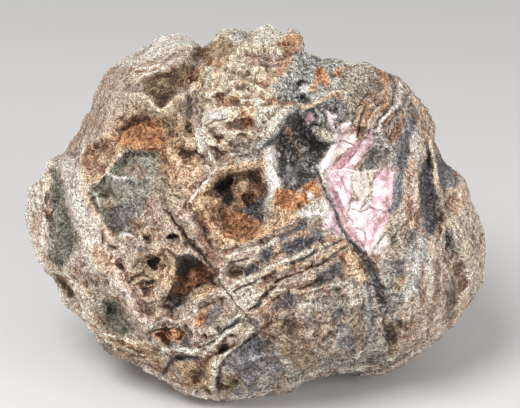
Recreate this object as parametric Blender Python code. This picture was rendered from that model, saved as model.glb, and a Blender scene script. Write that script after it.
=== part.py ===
"""A rough cabinet specimen: one weathered stone with a window of pink rhodochrosite in its front.

The stone grew and broke as one piece, so it is one solid. It is laid out on a front sketch: the stone as
it is seen squarely from its front, which leans back by FRONT_LEAN. Metres, +Z up, origin on the flat that
the stone rests on, under the middle of the sketch.
"""

import math

import bmesh
import bpy
import numpy as np

# Driving dimensions, in metres and radians.
STONE_WIDTH = 0.150
FRONT_DEPTH = 0.047
BACK_DEPTH = 0.052
BASE_DROP = 0.0525
FRONT_LEAN = math.radians(22)
VIEWING_DISTANCE = 0.60
MILLIMETRE = 0.001

# The front sketch counts steps to the right and steps down from its top left corner.
SKETCH_WIDTH = 465
SKETCH_CENTRE = (258, 213)
STEP = STONE_WIDTH / SKETCH_WIDTH

# The plain form: how squared-off its sections are, how far in front of the rim and behind it the outline's
# notches reach, the share of a lump that may hang over the outline, how deep the rim stays even, and the
# degrees of the outline whose least radius is taken, and then averaged, for the broad form.
FORM_POWER = 2.5
FRONT_EDGE_BAND = 0.26
BACK_EDGE_BAND = 0.13
OVERHANG = 0.12
EVEN_BAND = 0.30
NOTCH_DEGREES = 14
BROAD_DEGREES = 18

# The cage: cells along a cube's edge, how far its cells crowd towards the front, and the triangles kept.
CAGE_CELLS = 100
FRONT_PULL = 0.3
SOLID_TRIANGLES = 9600

# Unevenness: the size of the lumps in metres and how far they rise in millimetres. The front, whose own
# features are placed on the sketch, takes a share of it, and so does the rim, which also sinks by RIM_DROP.
SWELLS = [(0.060, 5.0), (0.030, 3.0)]
CRESTS = [(0.022, 2.2), (0.011, 1.3)]
FRONT_SWELL = 0.3
FRONT_CREST = 0.7
RIM_SHARE = 0.2
RIM_DROP = 2.5

# Shares of the way to the front over which the front's own unevenness and its features come in.
FRONT_BAND = (0.0, 0.4)
SEEN_BAND = (-0.05, 0.30)

# Broken bedding round the sides and the back: the way it is stacked, as right, up and towards the viewer,
# the thickness of a bed in metres, how far the beds bend, and the drop at a bed's edge in millimetres.
BED_WAY = (0.80, 0.45, 0.40)
BED_THICKNESS = 0.013
BED_BEND = (0.040, 1.2)
BED_DROP = 2.4

# How far through a bed its edge starts to drop, and the noise levels between which the beds come and go.
BED_CREST = 0.75
BED_PATCHES = (-0.3, 0.5)

# How far the front's features wander on the sketch: the size of the bends in metres, and steps sideways.
WANDER = [(0.024, 6.0), (0.009, 4.0)]

# How much stronger and weaker the lines grow along their way: the size of the change and its share.
VARY = (0.014, 0.7)

# What is left of a ridge's width and rise at its ends, the shares of a ledge's drop that stand up as its
# lip and sink as its foot, and the foot's width in widths of the drop.
RIDGE_END_WIDTH = 0.61
RIDGE_END_RISE = 0.35
LEDGE_LIP = 0.6
LEDGE_FOOT = 0.5
LEDGE_FOOT_WIDTH = 1.5

# Where each noise starts counting its seeds.
SEEDS = {"swells": 1, "crests": 5, "wander across": 20, "wander down": 30, "faces": 40, "vary": 50,
         "bed bend": 60, "bed patches": 61}

# The stone's outline on the sketch, clockwise from its left end.
OUTLINE = [
    (26, 208), (29, 190), (34, 179), (46, 169), (46, 163), (55, 157), (65, 152), (71, 139), (78, 126),
    (90, 111), (91, 95), (99, 83), (109, 70), (128, 54), (150, 40), (176, 33), (190, 38), (203, 50),
    (215, 39), (222, 31), (250, 29), (264, 25), (283, 30), (298, 32), (302, 44), (302, 53), (314, 55),
    (321, 61), (338, 59), (354, 67), (366, 63), (380, 72), (398, 78), (415, 98), (427, 110), (434, 126),
    (433, 142), (448, 165), (463, 180), (472, 205), (485, 238), (491, 262), (488, 276), (468, 303),
    (445, 332), (414, 357), (385, 372), (355, 378), (325, 379), (302, 382), (290, 391), (260, 396),
    (235, 401), (210, 397), (185, 391), (165, 378), (135, 362), (105, 348), (85, 322), (62, 301),
    (58, 285), (45, 270), (33, 248), (27, 225),
]

# Rounded swellings and hollows of the front: x, y, half width, half height, turn in degrees, and rise in
# millimetres, which is below zero for a hollow.
OVALS = [
    (140, 74, 66, 40, 35, 7.0),
    (104, 118, 34, 30, 60, 3.0),
    (250, 84, 58, 58, 0, 9.0),
    (232, 124, 40, 30, 0, 3.5),
    (286, 335, 92, 58, 0, 5.0),
    (232, 374, 60, 30, 0, 3.0),
    (412, 300, 50, 72, 25, 4.5),
    (42, 225, 24, 60, 4, 4.5),
    (465, 235, 26, 62, -20, 5.0),
    (392, 104, 46, 34, 35, 4.5),
    (178, 205, 34, 34, 0, 2.0),
    (300, 262, 60, 30, 25, 3.0),
    (200, 336, 44, 24, 25, 3.0),
    (150, 132, 50, 21, -8, -6.0),
    (96, 162, 26, 22, 30, -4.0),
    (300, 146, 40, 46, 10, -4.5),
    (213, 153, 36, 15, 20, -4.5),
    (226, 99, 24, 9, 12, -2.5),
    (330, 230, 26, 20, 30, -2.0),
    (290, 326, 20, 16, 60, -3.0),
    (156, 264, 28, 22, 20, -3.5),
    (262, 344, 30, 12, 30, -2.5),
    (112, 312, 14, 30, -35, -3.0),
    (60, 222, 18, 56, 5, -2.4),
    (452, 248, 16, 26, 20, -2.5),
]

# Recesses with an uneven floor: outline, the steps over which the edge slopes, and depth in millimetres.
RECESSES = [
    ([(88, 190), (100, 176), (112, 162), (128, 153), (164, 152), (176, 166), (168, 196), (150, 222),
      (134, 236), (112, 232), (98, 210)], 12, 2.8),
    ([(178, 256), (196, 257), (216, 270), (222, 284), (206, 290), (192, 298), (184, 310), (174, 318),
      (163, 306), (172, 286)], 12, 9.0),
    ([(206, 194), (216, 180), (234, 169), (258, 170), (270, 188), (270, 216), (252, 236), (226, 232),
      (212, 214)], 14, 7.5),
    ([(323, 172), (333, 150), (334, 130), (352, 122), (374, 128), (394, 150), (394, 186), (389, 215),
      (376, 246), (363, 249), (350, 232), (337, 206)], 8, 2.5),
    ([(421, 166), (430, 150), (436, 168), (441, 200), (442, 234), (430, 238), (421, 205)], 8, 2.5),
    ([(51, 168), (61, 164), (68, 196), (74, 215), (81, 236), (72, 254), (64, 272), (52, 262), (47, 235),
      (49, 205)], 9, 2.2),
    ([(101, 300), (114, 297), (128, 318), (133, 335), (117, 333), (104, 315)], 8, 3.5),
    ([(122, 92), (140, 74), (166, 66), (192, 72), (198, 88), (180, 96), (163, 111), (148, 103)], 28, 4.0),
]

# Ridges and clefts along a line: the line, half width in steps, and rise in millimetres, which is below
# zero for a cleft. Each thins towards its ends.
RIDGES = [
    ([(62, 152), (76, 186), (88, 236), (106, 276), (134, 316), (162, 352)], 18, 5.8),
    ([(198, 206), (212, 186), (226, 172), (250, 160)], 9, 3.5),
    ([(262, 146), (271, 176), (274, 208), (260, 240)], 11, 2.4),
    ([(254, 146), (275, 122), (294, 106), (334, 94)], 10, 3.5),
    ([(431, 124), (436, 160), (441, 200), (445, 248)], 6, 3.0),
    ([(126, 94), (152, 108), (162, 113), (178, 102), (198, 90)], 8, 1.8),
    ([(214, 362), (217, 390)], 7, 2.5),
    ([(232, 366), (240, 392)], 7, 2.0),
    ([(203, 40), (197, 74), (194, 112), (204, 152)], 17, -7.5),
    ([(332, 192), (345, 226), (362, 254), (378, 284), (388, 318), (389, 352)], 11, -4.0),
    ([(442, 140), (450, 190), (446, 236), (458, 280), (450, 322)], 13, -3.5),
    ([(162, 200), (186, 236), (202, 254), (220, 272)], 7, -3.0),
    ([(50, 272), (68, 280), (75, 298)], 8, -4.0),
    ([(210, 392), (186, 366), (168, 344), (166, 318)], 8, -2.0),
]

# Ledges: the line of the edge, which drops on its right as it is walked, with the steps over which it
# drops, the steps over which it fades behind the edge, and the drop in millimetres.
LEDGES = [
    ([(80, 146), (96, 146), (114, 138), (128, 122), (150, 116), (174, 116), (192, 112)], 7, 26, 2.0),
    ([(84, 192), (104, 174), (124, 156), (164, 150), (186, 146)], 5, 16, 1.2),
    ([(200, 89), (182, 94), (172, 101), (163, 111), (156, 109), (144, 98), (124, 95)], 6, 18, 2.6),
    ([(272, 100), (284, 88), (296, 72), (304, 50)], 7, 24, 2.8),
    ([(140, 326), (170, 318), (196, 300), (222, 292)], 5, 14, 1.9),
    ([(186, 346), (204, 338), (224, 324), (256, 308)], 4, 9, 1.7),
    ([(200, 360), (226, 346), (248, 330), (280, 314)], 4, 9, 1.7),
    ([(158, 374), (174, 352), (200, 352)], 4, 9, 1.9),
    ([(226, 246), (262, 240), (300, 222), (330, 214)], 4, 10, 1.2),
    ([(220, 272), (262, 258), (300, 244), (344, 236)], 4, 10, 1.4),
    ([(230, 294), (262, 278), (300, 264), (352, 248)], 4, 10, 1.4),
    ([(240, 314), (266, 296), (306, 284), (340, 276)], 4, 10, 1.2),
    ([(206, 96), (230, 92), (256, 98)], 6, 16, 2.5),
    ([(204, 122), (228, 118), (262, 122)], 6, 16, 2.5),
    ([(206, 62), (232, 62), (262, 68), (292, 60)], 6, 16, 3.0),
    ([(396, 82), (408, 104), (404, 140), (394, 160)], 6, 14, 1.5),
    ([(376, 76), (388, 104), (384, 136)], 6, 12, 1.5),
    ([(104, 350), (150, 352), (176, 380)], 6, 14, 2.0),
]

# Pits: x, y, radius in steps and depth in millimetres.
PITS = [
    (224, 181, 12, 6.0), (252, 200, 11, 4.5), (313, 146, 15, 4.5), (200, 373, 14, 5.5), (224, 380, 9, 4.0),
    (238, 378, 9, 3.5), (158, 350, 10, 4.0), (184, 334, 11, 4.0), (225, 346, 10, 4.5), (148, 291, 10, 4.0),
    (302, 82, 7, 3.5), (305, 96, 7, 3.5), (222, 131, 11, 4.0), (236, 268, 11, 3.5), (122, 264, 7, 3.0),
    (153, 263, 8, 3.5), (172, 236, 7, 3.0), (188, 158, 11, 3.5), (400, 324, 7, 2.5), (148, 236, 6, 2.5),
]

# Broken faces: the way each looks, as right, up and towards the viewer, and its distance from the middle
# in millimetres. What lies beyond a face is pressed back to it by BROKEN_SHARE.
BROKEN_FACES = [
    ((0.80, 0.12, 0.60), 61), ((0.28, 0.10, 0.95), 46), ((-0.50, -0.05, 0.86), 52),
    ((-0.30, 0.62, 0.72), 55), ((0.35, -0.72, 0.60), 56), ((-0.62, -0.55, 0.56), 60),
    ((0.45, 0.72, 0.52), 56), ((0.85, -0.05, -0.50), 60), ((-0.70, 0.20, -0.68), 58),
    ((0.15, 0.10, -0.98), 48), ((0.35, 0.75, -0.56), 54), ((-0.25, 0.80, -0.55), 53),
    ((0.20, -0.55, -0.80), 54), ((-0.45, -0.45, -0.77), 57),
]
BROKEN_SHARE = 0.75
BROKEN_UNEVEN = (0.026, 3.0)

# The whole stone's colour, as linear red, green and blue, and its roughness.
STONE_COLOUR = (0.36, 0.28, 0.21)
STONE_ROUGHNESS = 0.85


def lattice_value(cell, seed):
    """A fixed pseudo-random 32-bit number for each whole-numbered lattice cell."""
    h = cell[..., 0] * 374761393 + cell[..., 1] * 668265263 + cell[..., 2] * 1440662683 + seed * 1274126177
    h = h.astype(np.uint32)
    h = (h ^ (h >> 13)) * np.uint32(1274126177)
    return h ^ (h >> 16)


def rough(points, size, seed):
    """Gradient noise, about -1 to 1, whose lumps are `size` metres across."""
    scaled = points / size
    corner = np.floor(scaled).astype(np.int64)
    inside = scaled - corner
    blend = inside**3 * (inside * (inside * 6 - 15) + 10)
    total = np.zeros(len(points))
    for offset in np.ndindex(2, 2, 2):
        h = lattice_value(corner + np.array(offset), seed)
        slope = np.stack([h & 1023, (h >> 10) & 1023, (h >> 20) & 1023], 1) / 511.5 - 1
        share = np.where(offset, blend, 1 - blend).prod(1)
        total += share * (slope * (inside - offset)).sum(1)
    return total * 1.5


def folded(points, size, seed):
    """Noise folded at 0, which makes sharp crests of height 1 between rounded hollows."""
    return 1 - 2 * np.abs(rough(points, size, seed))


def smooth_step(low, high, value):
    """0 below low, 1 above high, and a smooth rise between them."""
    t = np.clip((value - low) / (high - low), 0, 1)
    return t * t * (3 - 2 * t)


def dome(reach):
    """1 where reach is 0, falling smoothly to 0 where it is 1 and beyond."""
    return np.clip(1 - reach**2, 0, 1) ** 2


def oval_reach(x, y, centre_x, centre_y, half_width, half_height, turn):
    """Distance from an oval's middle, as a share of its radius in that direction."""
    c, s = math.cos(math.radians(turn)), math.sin(math.radians(turn))
    along = (x - centre_x) * c - (y - centre_y) * s
    across = (x - centre_x) * s + (y - centre_y) * c
    return np.hypot(along / half_width, across / half_height)


def from_line(x, y, line):
    """Distance in steps to the nearest stretch of a line, above zero on its right as it is walked.

    The second value is how far along the line that nearest place is, from 0 to 1."""
    nearest = np.full(len(x), np.inf)
    side = np.ones(len(x))
    place = np.zeros(len(x))
    walked = 0
    for (x0, y0), (x1, y1) in zip(line[:-1], line[1:]):
        dx, dy = x1 - x0, y1 - y0
        length = math.hypot(dx, dy)
        t = np.clip(((x - x0) * dx + (y - y0) * dy) / length**2, 0, 1)
        distance = np.hypot(x - x0 - t * dx, y - y0 - t * dy)
        closer = distance < nearest
        nearest[closer] = distance[closer]
        side[closer] = np.where((y - y0) * dx - (x - x0) * dy > 0, 1, -1)[closer]
        place[closer] = (walked + t * length)[closer]
        walked += length
    return nearest * side, place / walked


def depth_inside(x, y, outline):
    """Distance on the sketch to a closed outline's edge, above zero inside it and below zero outside."""
    inside = np.zeros(len(x), bool)
    for (x0, y0), (x1, y1) in zip(outline, outline[1:] + outline[:1]):
        if y0 != y1:
            inside ^= ((y0 > y) != (y1 > y)) & (x < (x1 - x0) * (y - y0) / (y1 - y0) + x0)
    distance, _ = from_line(x, y, outline + outline[:1])
    return np.where(inside, 1, -1) * np.abs(distance)


def cage_directions(cells):
    """A cube's surface cut into cells and blown up to a ball, as a bmesh and its unit directions.

    The tangent spacing evens the cells, and the pull towards the front packs them closer there."""
    cage = bmesh.new()
    bmesh.ops.create_cube(cage, size=2)
    bmesh.ops.subdivide_edges(cage, edges=cage.edges[:], cuts=cells - 1, use_grid_fill=True)
    corners = np.array([v.co for v in cage.verts])
    ball = np.tan(corners * math.pi / 4)
    ball /= np.linalg.norm(ball, axis=1)[:, None]
    ball[:, 2] += FRONT_PULL
    return cage, ball / np.linalg.norm(ball, axis=1)[:, None]


def rim_radius(turn):
    """The outline's radius in metres at each turn round the sketch's centre: exact, and of the broad form.

    The broad form takes the least radius within NOTCH_DEGREES, averaged over BROAD_DEGREES."""
    outline = np.array(OUTLINE + OUTLINE[:1], float) - SKETCH_CENTRE
    corner_turn = np.arctan2(-outline[:, 1], outline[:, 0])
    corner_radius = np.hypot(outline[:, 0], outline[:, 1]) * STEP
    degrees = np.arange(-180, 180)
    exact = np.interp(np.radians(degrees), corner_turn, corner_radius, period=2 * math.pi)
    least = np.min([np.roll(exact, shift) for shift in range(-NOTCH_DEGREES, NOTCH_DEGREES + 1)], 0)
    window = np.hanning(2 * BROAD_DEGREES + 1)
    broad = np.convolve(np.tile(least, 3), window / window.sum(), "same")[360:720]
    return (
        np.interp(turn, corner_turn, corner_radius, period=2 * math.pi),
        np.interp(turn, np.radians(degrees), broad, period=2 * math.pi),
    )


def plain_form(ball):
    """The stone before its relief: a squared-off egg whose rim is the outline.

    1 / r^p = (across / rim)^p + (forwards / depth)^p. Only the broad rim reaches the front and the back,
    and the outline's notches stay in a band along the edge. The front narrows with nearness to the viewer,
    so that it never shows outside the rim."""
    to_front = ball[:, 2]
    exact, broad = rim_radius(np.arctan2(ball[:, 1], ball[:, 0]))
    band = np.where(to_front > 0, FRONT_EDGE_BAND, BACK_EDGE_BAND)
    rim = broad + (exact - broad) * np.exp(-((to_front / band) ** 2))
    depth = np.where(to_front > 0, FRONT_DEPTH, BACK_DEPTH)
    across = np.hypot(ball[:, 0], ball[:, 1])
    r = ((across / rim) ** FORM_POWER + (np.abs(to_front) / depth) ** FORM_POWER) ** (-1 / FORM_POWER)
    points = ball * r[:, None]
    points[:, :2] *= 1 - np.maximum(points[:, 2:], 0) / VIEWING_DISTANCE
    return points


def broken(points):
    """The points with what lies beyond the broken faces pressed most of the way back to them."""
    size, uneven = BROKEN_UNEVEN
    for number, (way, distance) in enumerate(BROKEN_FACES):
        way = np.array(way) / np.linalg.norm(way)
        face = (distance + uneven * rough(points, size, SEEDS["faces"] + number)) * MILLIMETRE
        beyond = np.maximum(points @ way - face, 0)
        points = points - way * (beyond * BROKEN_SHARE)[:, None]
    return points


def beds(points):
    """Height of the broken bedding in millimetres: each bed rises slowly and ends in a steep, patchy edge."""
    way = np.array(BED_WAY) / np.linalg.norm(BED_WAY)
    bend_size, bend = BED_BEND
    stack = points @ way / BED_THICKNESS + bend * rough(points, bend_size, SEEDS["bed bend"])
    through = stack - np.floor(stack)
    patchy = smooth_step(*BED_PATCHES, rough(points, bend_size, SEEDS["bed patches"]))
    return BED_DROP * patchy * through * (1 - smooth_step(BED_CREST, 1, through))


def uneven_skin(points, to_front):
    """How far the skin rises, in metres: broad swells, and folded noise that makes crests between hollows.

    Along the rim the swells fade and the rest sinks by RIM_DROP, so the crests just reach it."""
    rim = np.exp(-((to_front / EVEN_BAND) ** 2))
    front = smooth_step(*FRONT_BAND, to_front)
    swell = sum(rise * rough(points, size, SEEDS["swells"] + n) for n, (size, rise) in enumerate(SWELLS))
    crest = sum(rise * folded(points, size, SEEDS["crests"] + n) for n, (size, rise) in enumerate(CRESTS))
    swell *= (1 + (FRONT_SWELL - 1) * front) * (1 + (RIM_SHARE - 1) * rim)
    crest *= 1 + (FRONT_CREST - 1) * front
    return (swell + crest + beds(points) * (1 - front) - RIM_DROP * rim) * MILLIMETRE


def on_sketch(points):
    """Where the points are seen on the front sketch, from VIEWING_DISTANCE."""
    growth = VIEWING_DISTANCE / (VIEWING_DISTANCE - points[:, 2]) / STEP
    return SKETCH_CENTRE[0] + points[:, 0] * growth, SKETCH_CENTRE[1] - points[:, 1] * growth


def tapered(place, at_ends):
    """1 in the middle of a line, falling to `at_ends` along the curve of a half circle."""
    return at_ends + (1 - at_ends) * np.sqrt(4 * place * (1 - place))


def front_relief(x, y, vary):
    """Height in metres of the front's features. `vary`, about 1, makes a line stronger here, weaker there."""
    height = np.zeros(len(x))
    for *oval, rise in OVALS:
        height += rise * dome(oval_reach(x, y, *oval))
    for outline, slope, depth in RECESSES:
        height -= depth * smooth_step(-slope / 3, 2 * slope / 3, depth_inside(x, y, outline))
    for line, half_width, rise in RIDGES:
        distance, place = from_line(x, y, line)
        width = half_width * tapered(place, RIDGE_END_WIDTH)
        height += rise * vary * tapered(place, RIDGE_END_RISE) * dome(distance / width)
    for line, drop_width, fade_width, drop in LEDGES:
        distance, place = from_line(x, y, line)
        behind = dome(np.minimum(distance, 0) / fade_width)
        lip = behind * (1 - smooth_step(-drop_width / 2, drop_width, distance))
        foot = dome((distance - drop_width) / (LEDGE_FOOT_WIDTH * drop_width))
        height += drop * vary * tapered(place, 0) * (LEDGE_LIP * lip - LEDGE_FOOT * foot)
    for pit_x, pit_y, radius, depth in PITS:
        height -= depth * dome(np.hypot(x - pit_x, y - pit_y) / radius)
    return height * MILLIMETRE


def trimmed(points):
    """The points with what shows outside the outline drawn in, all but OVERHANG of it."""
    x, y = on_sketch(points)
    across, up = x - SKETCH_CENTRE[0], SKETCH_CENTRE[1] - y
    reach = np.maximum(np.hypot(across, up), 1) * STEP
    exact, _ = rim_radius(np.arctan2(up, across))
    kept = np.minimum(1, exact / reach + OVERHANG * (1 - exact / reach))
    return points * np.stack([kept, kept, np.ones(len(points))], 1)


def to_viewer(points):
    """Unit directions from the points to the eye that sees the sketch."""
    way = np.array([0, 0, VIEWING_DISTANCE]) - points
    return way / np.linalg.norm(way, axis=1)[:, None]


def stone_surface(ball):
    """The whole stone, as points in the sketch's own axes: right, up and towards the viewer."""
    to_front = ball[:, 2]
    points = broken(plain_form(ball))
    out = points / np.linalg.norm(points, axis=1)[:, None]
    points = trimmed(points + out * uneven_skin(points, to_front)[:, None])
    x, y = on_sketch(points)
    for number, (size, steps) in enumerate(WANDER):
        x += steps * rough(points, size, SEEDS["wander across"] + number)
        y += steps * rough(points, size, SEEDS["wander down"] + number)
    vary_size, vary_share = VARY
    vary = 1 + vary_share * rough(points, vary_size, SEEDS["vary"])
    seen = smooth_step(*SEEN_BAND, to_front)
    return points + to_viewer(points) * (front_relief(x, y, vary) * seen)[:, None]


def world_axes(points):
    """Points in the sketch's axes as world points: the front leans back, and the base is at z = 0."""
    c, s = math.cos(FRONT_LEAN), math.sin(FRONT_LEAN)
    up = points[:, 1] * c + points[:, 2] * s + BASE_DROP
    return np.stack([points[:, 0], points[:, 1] * s - points[:, 2] * c, up], 1)


def build_stone(collection):
    cage, ball = cage_directions(CAGE_CELLS)
    for vertex, place in zip(cage.verts, world_axes(stone_surface(ball))):
        vertex.co = place
    cage.normal_update()
    bmesh.ops.recalc_face_normals(cage, faces=cage.faces)
    bmesh.ops.triangulate(cage, faces=cage.faces)
    mesh = bpy.data.meshes.new("rhodochrosite_stone")
    cage.to_mesh(mesh)
    cage.free()
    stone = bpy.data.objects.new("rhodochrosite_stone", mesh)
    collection.objects.link(stone)
    thin = stone.modifiers.new("fewer_flats", "DECIMATE")
    thin.ratio = SOLID_TRIANGLES / len(mesh.polygons)
    return stone


def cut_base(stone, cutters):
    """Cuts the stone off flat at z = 0, where it rests."""
    size = 2 * STONE_WIDTH
    cube = bmesh.new()
    bmesh.ops.create_cube(cube, size=size)
    mesh = bpy.data.meshes.new("base_cutter")
    cube.to_mesh(mesh)
    cube.free()
    cutter = bpy.data.objects.new("base_cutter", mesh)
    cutter.location.z = -size / 2
    cutter.hide_render = True
    cutter.display_type = "WIRE"
    cutters.objects.link(cutter)
    cut = stone.modifiers.new("resting_flat", "BOOLEAN")
    cut.object = cutter


def stone_material():
    material = bpy.data.materials.new("weathered_stone")
    material.use_nodes = True
    surface = material.node_tree.nodes["Principled BSDF"]
    surface.inputs["Base Color"].default_value = (*STONE_COLOUR, 1)
    surface.inputs["Roughness"].default_value = STONE_ROUGHNESS
    surface.inputs["Metallic"].default_value = 0.0
    return material


def main():
    for old in list(bpy.data.objects):
        bpy.data.objects.remove(old, do_unlink=True)
    collection = bpy.data.collections.new("rhodochrosite_specimen")
    cutters = bpy.data.collections.new("cutters")
    bpy.context.scene.collection.children.link(collection)
    bpy.context.scene.collection.children.link(cutters)
    stone = build_stone(collection)
    cut_base(stone, cutters)
    stone.data.materials.append(stone_material())


main()
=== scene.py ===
"""A rough rhodochrosite specimen: one weathered stone with a window of pink crystal in its front."""

import math

import bpy
import numpy as np
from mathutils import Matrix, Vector


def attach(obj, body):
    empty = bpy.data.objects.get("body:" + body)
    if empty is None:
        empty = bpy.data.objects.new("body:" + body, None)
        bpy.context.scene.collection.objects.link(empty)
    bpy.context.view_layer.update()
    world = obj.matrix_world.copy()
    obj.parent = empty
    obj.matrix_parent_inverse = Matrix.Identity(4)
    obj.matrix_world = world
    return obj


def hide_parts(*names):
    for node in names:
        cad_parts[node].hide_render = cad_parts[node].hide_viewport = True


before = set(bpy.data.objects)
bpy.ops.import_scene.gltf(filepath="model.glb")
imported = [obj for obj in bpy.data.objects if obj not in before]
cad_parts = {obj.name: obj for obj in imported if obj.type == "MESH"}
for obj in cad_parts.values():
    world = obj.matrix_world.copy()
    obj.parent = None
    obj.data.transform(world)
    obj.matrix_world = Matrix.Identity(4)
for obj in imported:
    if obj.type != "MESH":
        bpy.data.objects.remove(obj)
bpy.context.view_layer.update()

# ---------------------------------------------------------------------------------------------------------
# The stone's plain form. The real piece is one lump of weathered rock about as big as two fists, broken out
# of a vein. Its front leans back, and its outline is drawn on a front sketch that counts steps to the right
# and steps down.

STONE_WIDTH = 0.150
FRONT_DEPTH = 0.047
BACK_DEPTH = 0.052
BASE_DROP = 0.0525
FRONT_LEAN = math.radians(22)
VIEWING_DISTANCE = 0.60
MILLIMETRE = 0.001
SKETCH_WIDTH = 465
SKETCH_CENTRE = (258, 213)
STEP = STONE_WIDTH / SKETCH_WIDTH
FORM_POWER = 2.5
FRONT_EDGE_BAND = 0.26
BACK_EDGE_BAND = 0.13
OVERHANG = 0.12
EVEN_BAND = 0.30
NOTCH_DEGREES = 14
BROAD_DEGREES = 18

# The outline, clockwise from the left end.
OUTLINE = [
    (26, 208), (29, 190), (34, 179), (46, 169), (46, 163), (55, 157), (65, 152), (71, 139), (78, 126),
    (90, 111), (91, 95), (99, 83), (109, 70), (128, 54), (150, 40), (176, 33), (190, 38), (203, 50),
    (215, 39), (222, 31), (250, 29), (264, 25), (283, 30), (298, 32), (302, 44), (302, 53), (314, 55),
    (321, 61), (338, 59), (354, 67), (366, 63), (380, 72), (398, 78), (415, 98), (427, 110), (434, 126),
    (433, 142), (448, 165), (463, 180), (472, 205), (485, 238), (491, 262), (488, 276), (468, 303),
    (445, 332), (414, 357), (385, 372), (355, 378), (325, 379), (302, 382), (290, 391), (260, 396),
    (235, 401), (210, 397), (185, 391), (165, 378), (135, 362), (105, 348), (85, 322), (62, 301),
    (58, 285), (45, 270), (33, 248), (27, 225),
]

# The grid of the stone's surface: cells along a cube's edge, and how far they crowd towards the front.
GRID_CELLS = 220
FRONT_PULL = 0.45


def smooth_step(low, high, value):
    """0 below low, 1 above high, and a smooth rise between them."""
    t = np.clip((value - low) / (high - low), 0, 1)
    return t * t * (3 - 2 * t)


def ball_grid(cells):
    """Unit directions over a ball, and the corner numbers of its four-sided cells.

    Each side of a cube is a grid over a and b, whole numbers from -cells to cells. The tangent of their
    angle evens the cells, dividing by the length blows the cube up to a ball, and adding FRONT_PULL to the
    third coordinate before dividing once more crowds the cells towards the front."""
    ticks = np.arange(-cells, cells + 1, 2)
    a, b = np.meshgrid(ticks, ticks, indexing="ij")
    far = np.full_like(a, cells)
    sides = [(a, b, far), (b, a, -far), (far, a, b), (-far, b, a), (b, far, a), (a, -far, b)]
    corners = np.stack([np.stack(side, -1) for side in sides])
    places, number = np.unique(corners.reshape(-1, 3), axis=0, return_inverse=True)
    number = number.reshape(corners.shape[:3])
    around = [number[:, :-1, :-1], number[:, 1:, :-1], number[:, 1:, 1:], number[:, :-1, 1:]]
    ball = np.tan(places / cells * math.pi / 4)
    ball /= np.linalg.norm(ball, axis=1)[:, None]
    ball[:, 2] += FRONT_PULL
    return ball / np.linalg.norm(ball, axis=1)[:, None], np.stack(around, -1).reshape(-1, 4)


def rim_radius(turn):
    """The outline's radius in metres at each turn round the sketch's centre: exact, and of the broad form.

    The broad form takes the least radius within NOTCH_DEGREES, averaged over BROAD_DEGREES."""
    outline = np.array(OUTLINE + OUTLINE[:1], float) - SKETCH_CENTRE
    corner_turn = np.arctan2(-outline[:, 1], outline[:, 0])
    corner_radius = np.hypot(outline[:, 0], outline[:, 1]) * STEP
    degrees = np.arange(-180, 180)
    exact = np.interp(np.radians(degrees), corner_turn, corner_radius, period=2 * math.pi)
    least = np.min([np.roll(exact, shift) for shift in range(-NOTCH_DEGREES, NOTCH_DEGREES + 1)], 0)
    window = np.hanning(2 * BROAD_DEGREES + 1)
    broad = np.convolve(np.tile(least, 3), window / window.sum(), "same")[360:720]
    return (
        np.interp(turn, corner_turn, corner_radius, period=2 * math.pi),
        np.interp(turn, np.radians(degrees), broad, period=2 * math.pi),
    )


def plain_form(ball):
    """The stone before its relief: a squared-off egg whose rim is the outline.

    1 / r^p = (across / rim)^p + (forwards / depth)^p. Only the broad rim reaches the front and the back,
    and the outline's notches stay in a band along the edge. The front narrows with nearness to the viewer,
    so that it never shows outside the rim."""
    to_front = ball[:, 2]
    exact, broad = rim_radius(np.arctan2(ball[:, 1], ball[:, 0]))
    band = np.where(to_front > 0, FRONT_EDGE_BAND, BACK_EDGE_BAND)
    rim = broad + (exact - broad) * np.exp(-((to_front / band) ** 2))
    depth = np.where(to_front > 0, FRONT_DEPTH, BACK_DEPTH)
    across = np.hypot(ball[:, 0], ball[:, 1])
    r = ((across / rim) ** FORM_POWER + (np.abs(to_front) / depth) ** FORM_POWER) ** (-1 / FORM_POWER)
    points = ball * r[:, None]
    points[:, :2] *= 1 - np.maximum(points[:, 2:], 0) / VIEWING_DISTANCE
    return points


# ---------------------------------------------------------------------------------------------------------
# The broken faces, swells, crests and beds. A stone knocked out of a vein is bounded by uneven breaks, and
# weathering leaves crests between shallow hollows and the steep edges of the harder beds.

# Broken faces: the way each looks, as right, up and towards the viewer, and its distance from the middle
# in millimetres. What lies beyond a face is pressed back to it by BROKEN_SHARE.
BROKEN_FACES = [
    ((0.80, 0.12, 0.60), 61), ((0.28, 0.10, 0.95), 46), ((-0.50, -0.05, 0.86), 52),
    ((-0.30, 0.62, 0.72), 55), ((0.35, -0.72, 0.60), 56), ((-0.62, -0.55, 0.56), 60),
    ((0.45, 0.72, 0.52), 56), ((0.85, -0.05, -0.50), 60), ((-0.70, 0.20, -0.68), 58),
    ((0.15, 0.10, -0.98), 48), ((0.35, 0.75, -0.56), 54), ((-0.25, 0.80, -0.55), 53),
    ((0.20, -0.55, -0.80), 54), ((-0.45, -0.45, -0.77), 57),
]
BROKEN_SHARE = 0.75
BROKEN_UNEVEN = (0.026, 3.0)

# The size of the lumps in metres, and how far they rise in millimetres.
SWELLS = [(0.060, 5.0), (0.030, 3.0)]
CRESTS = [(0.022, 2.2), (0.011, 1.3)]
FRONT_SWELL = 0.3
FRONT_CREST = 0.7
FRONT_BAND = (0.0, 0.4)
RIM_SHARE = 0.2
RIM_DROP = 2.5
BED_WAY = (0.80, 0.45, 0.40)
BED_THICKNESS = 0.013
BED_BEND = (0.040, 1.2)
BED_DROP = 2.4
BED_CREST = 0.75
BED_PATCHES = (-0.3, 0.5)
SEEDS = {"swells": 1, "crests": 5, "wander across": 20, "wander down": 30, "faces": 40, "vary": 50,
         "bed bend": 60, "bed patches": 61}


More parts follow.
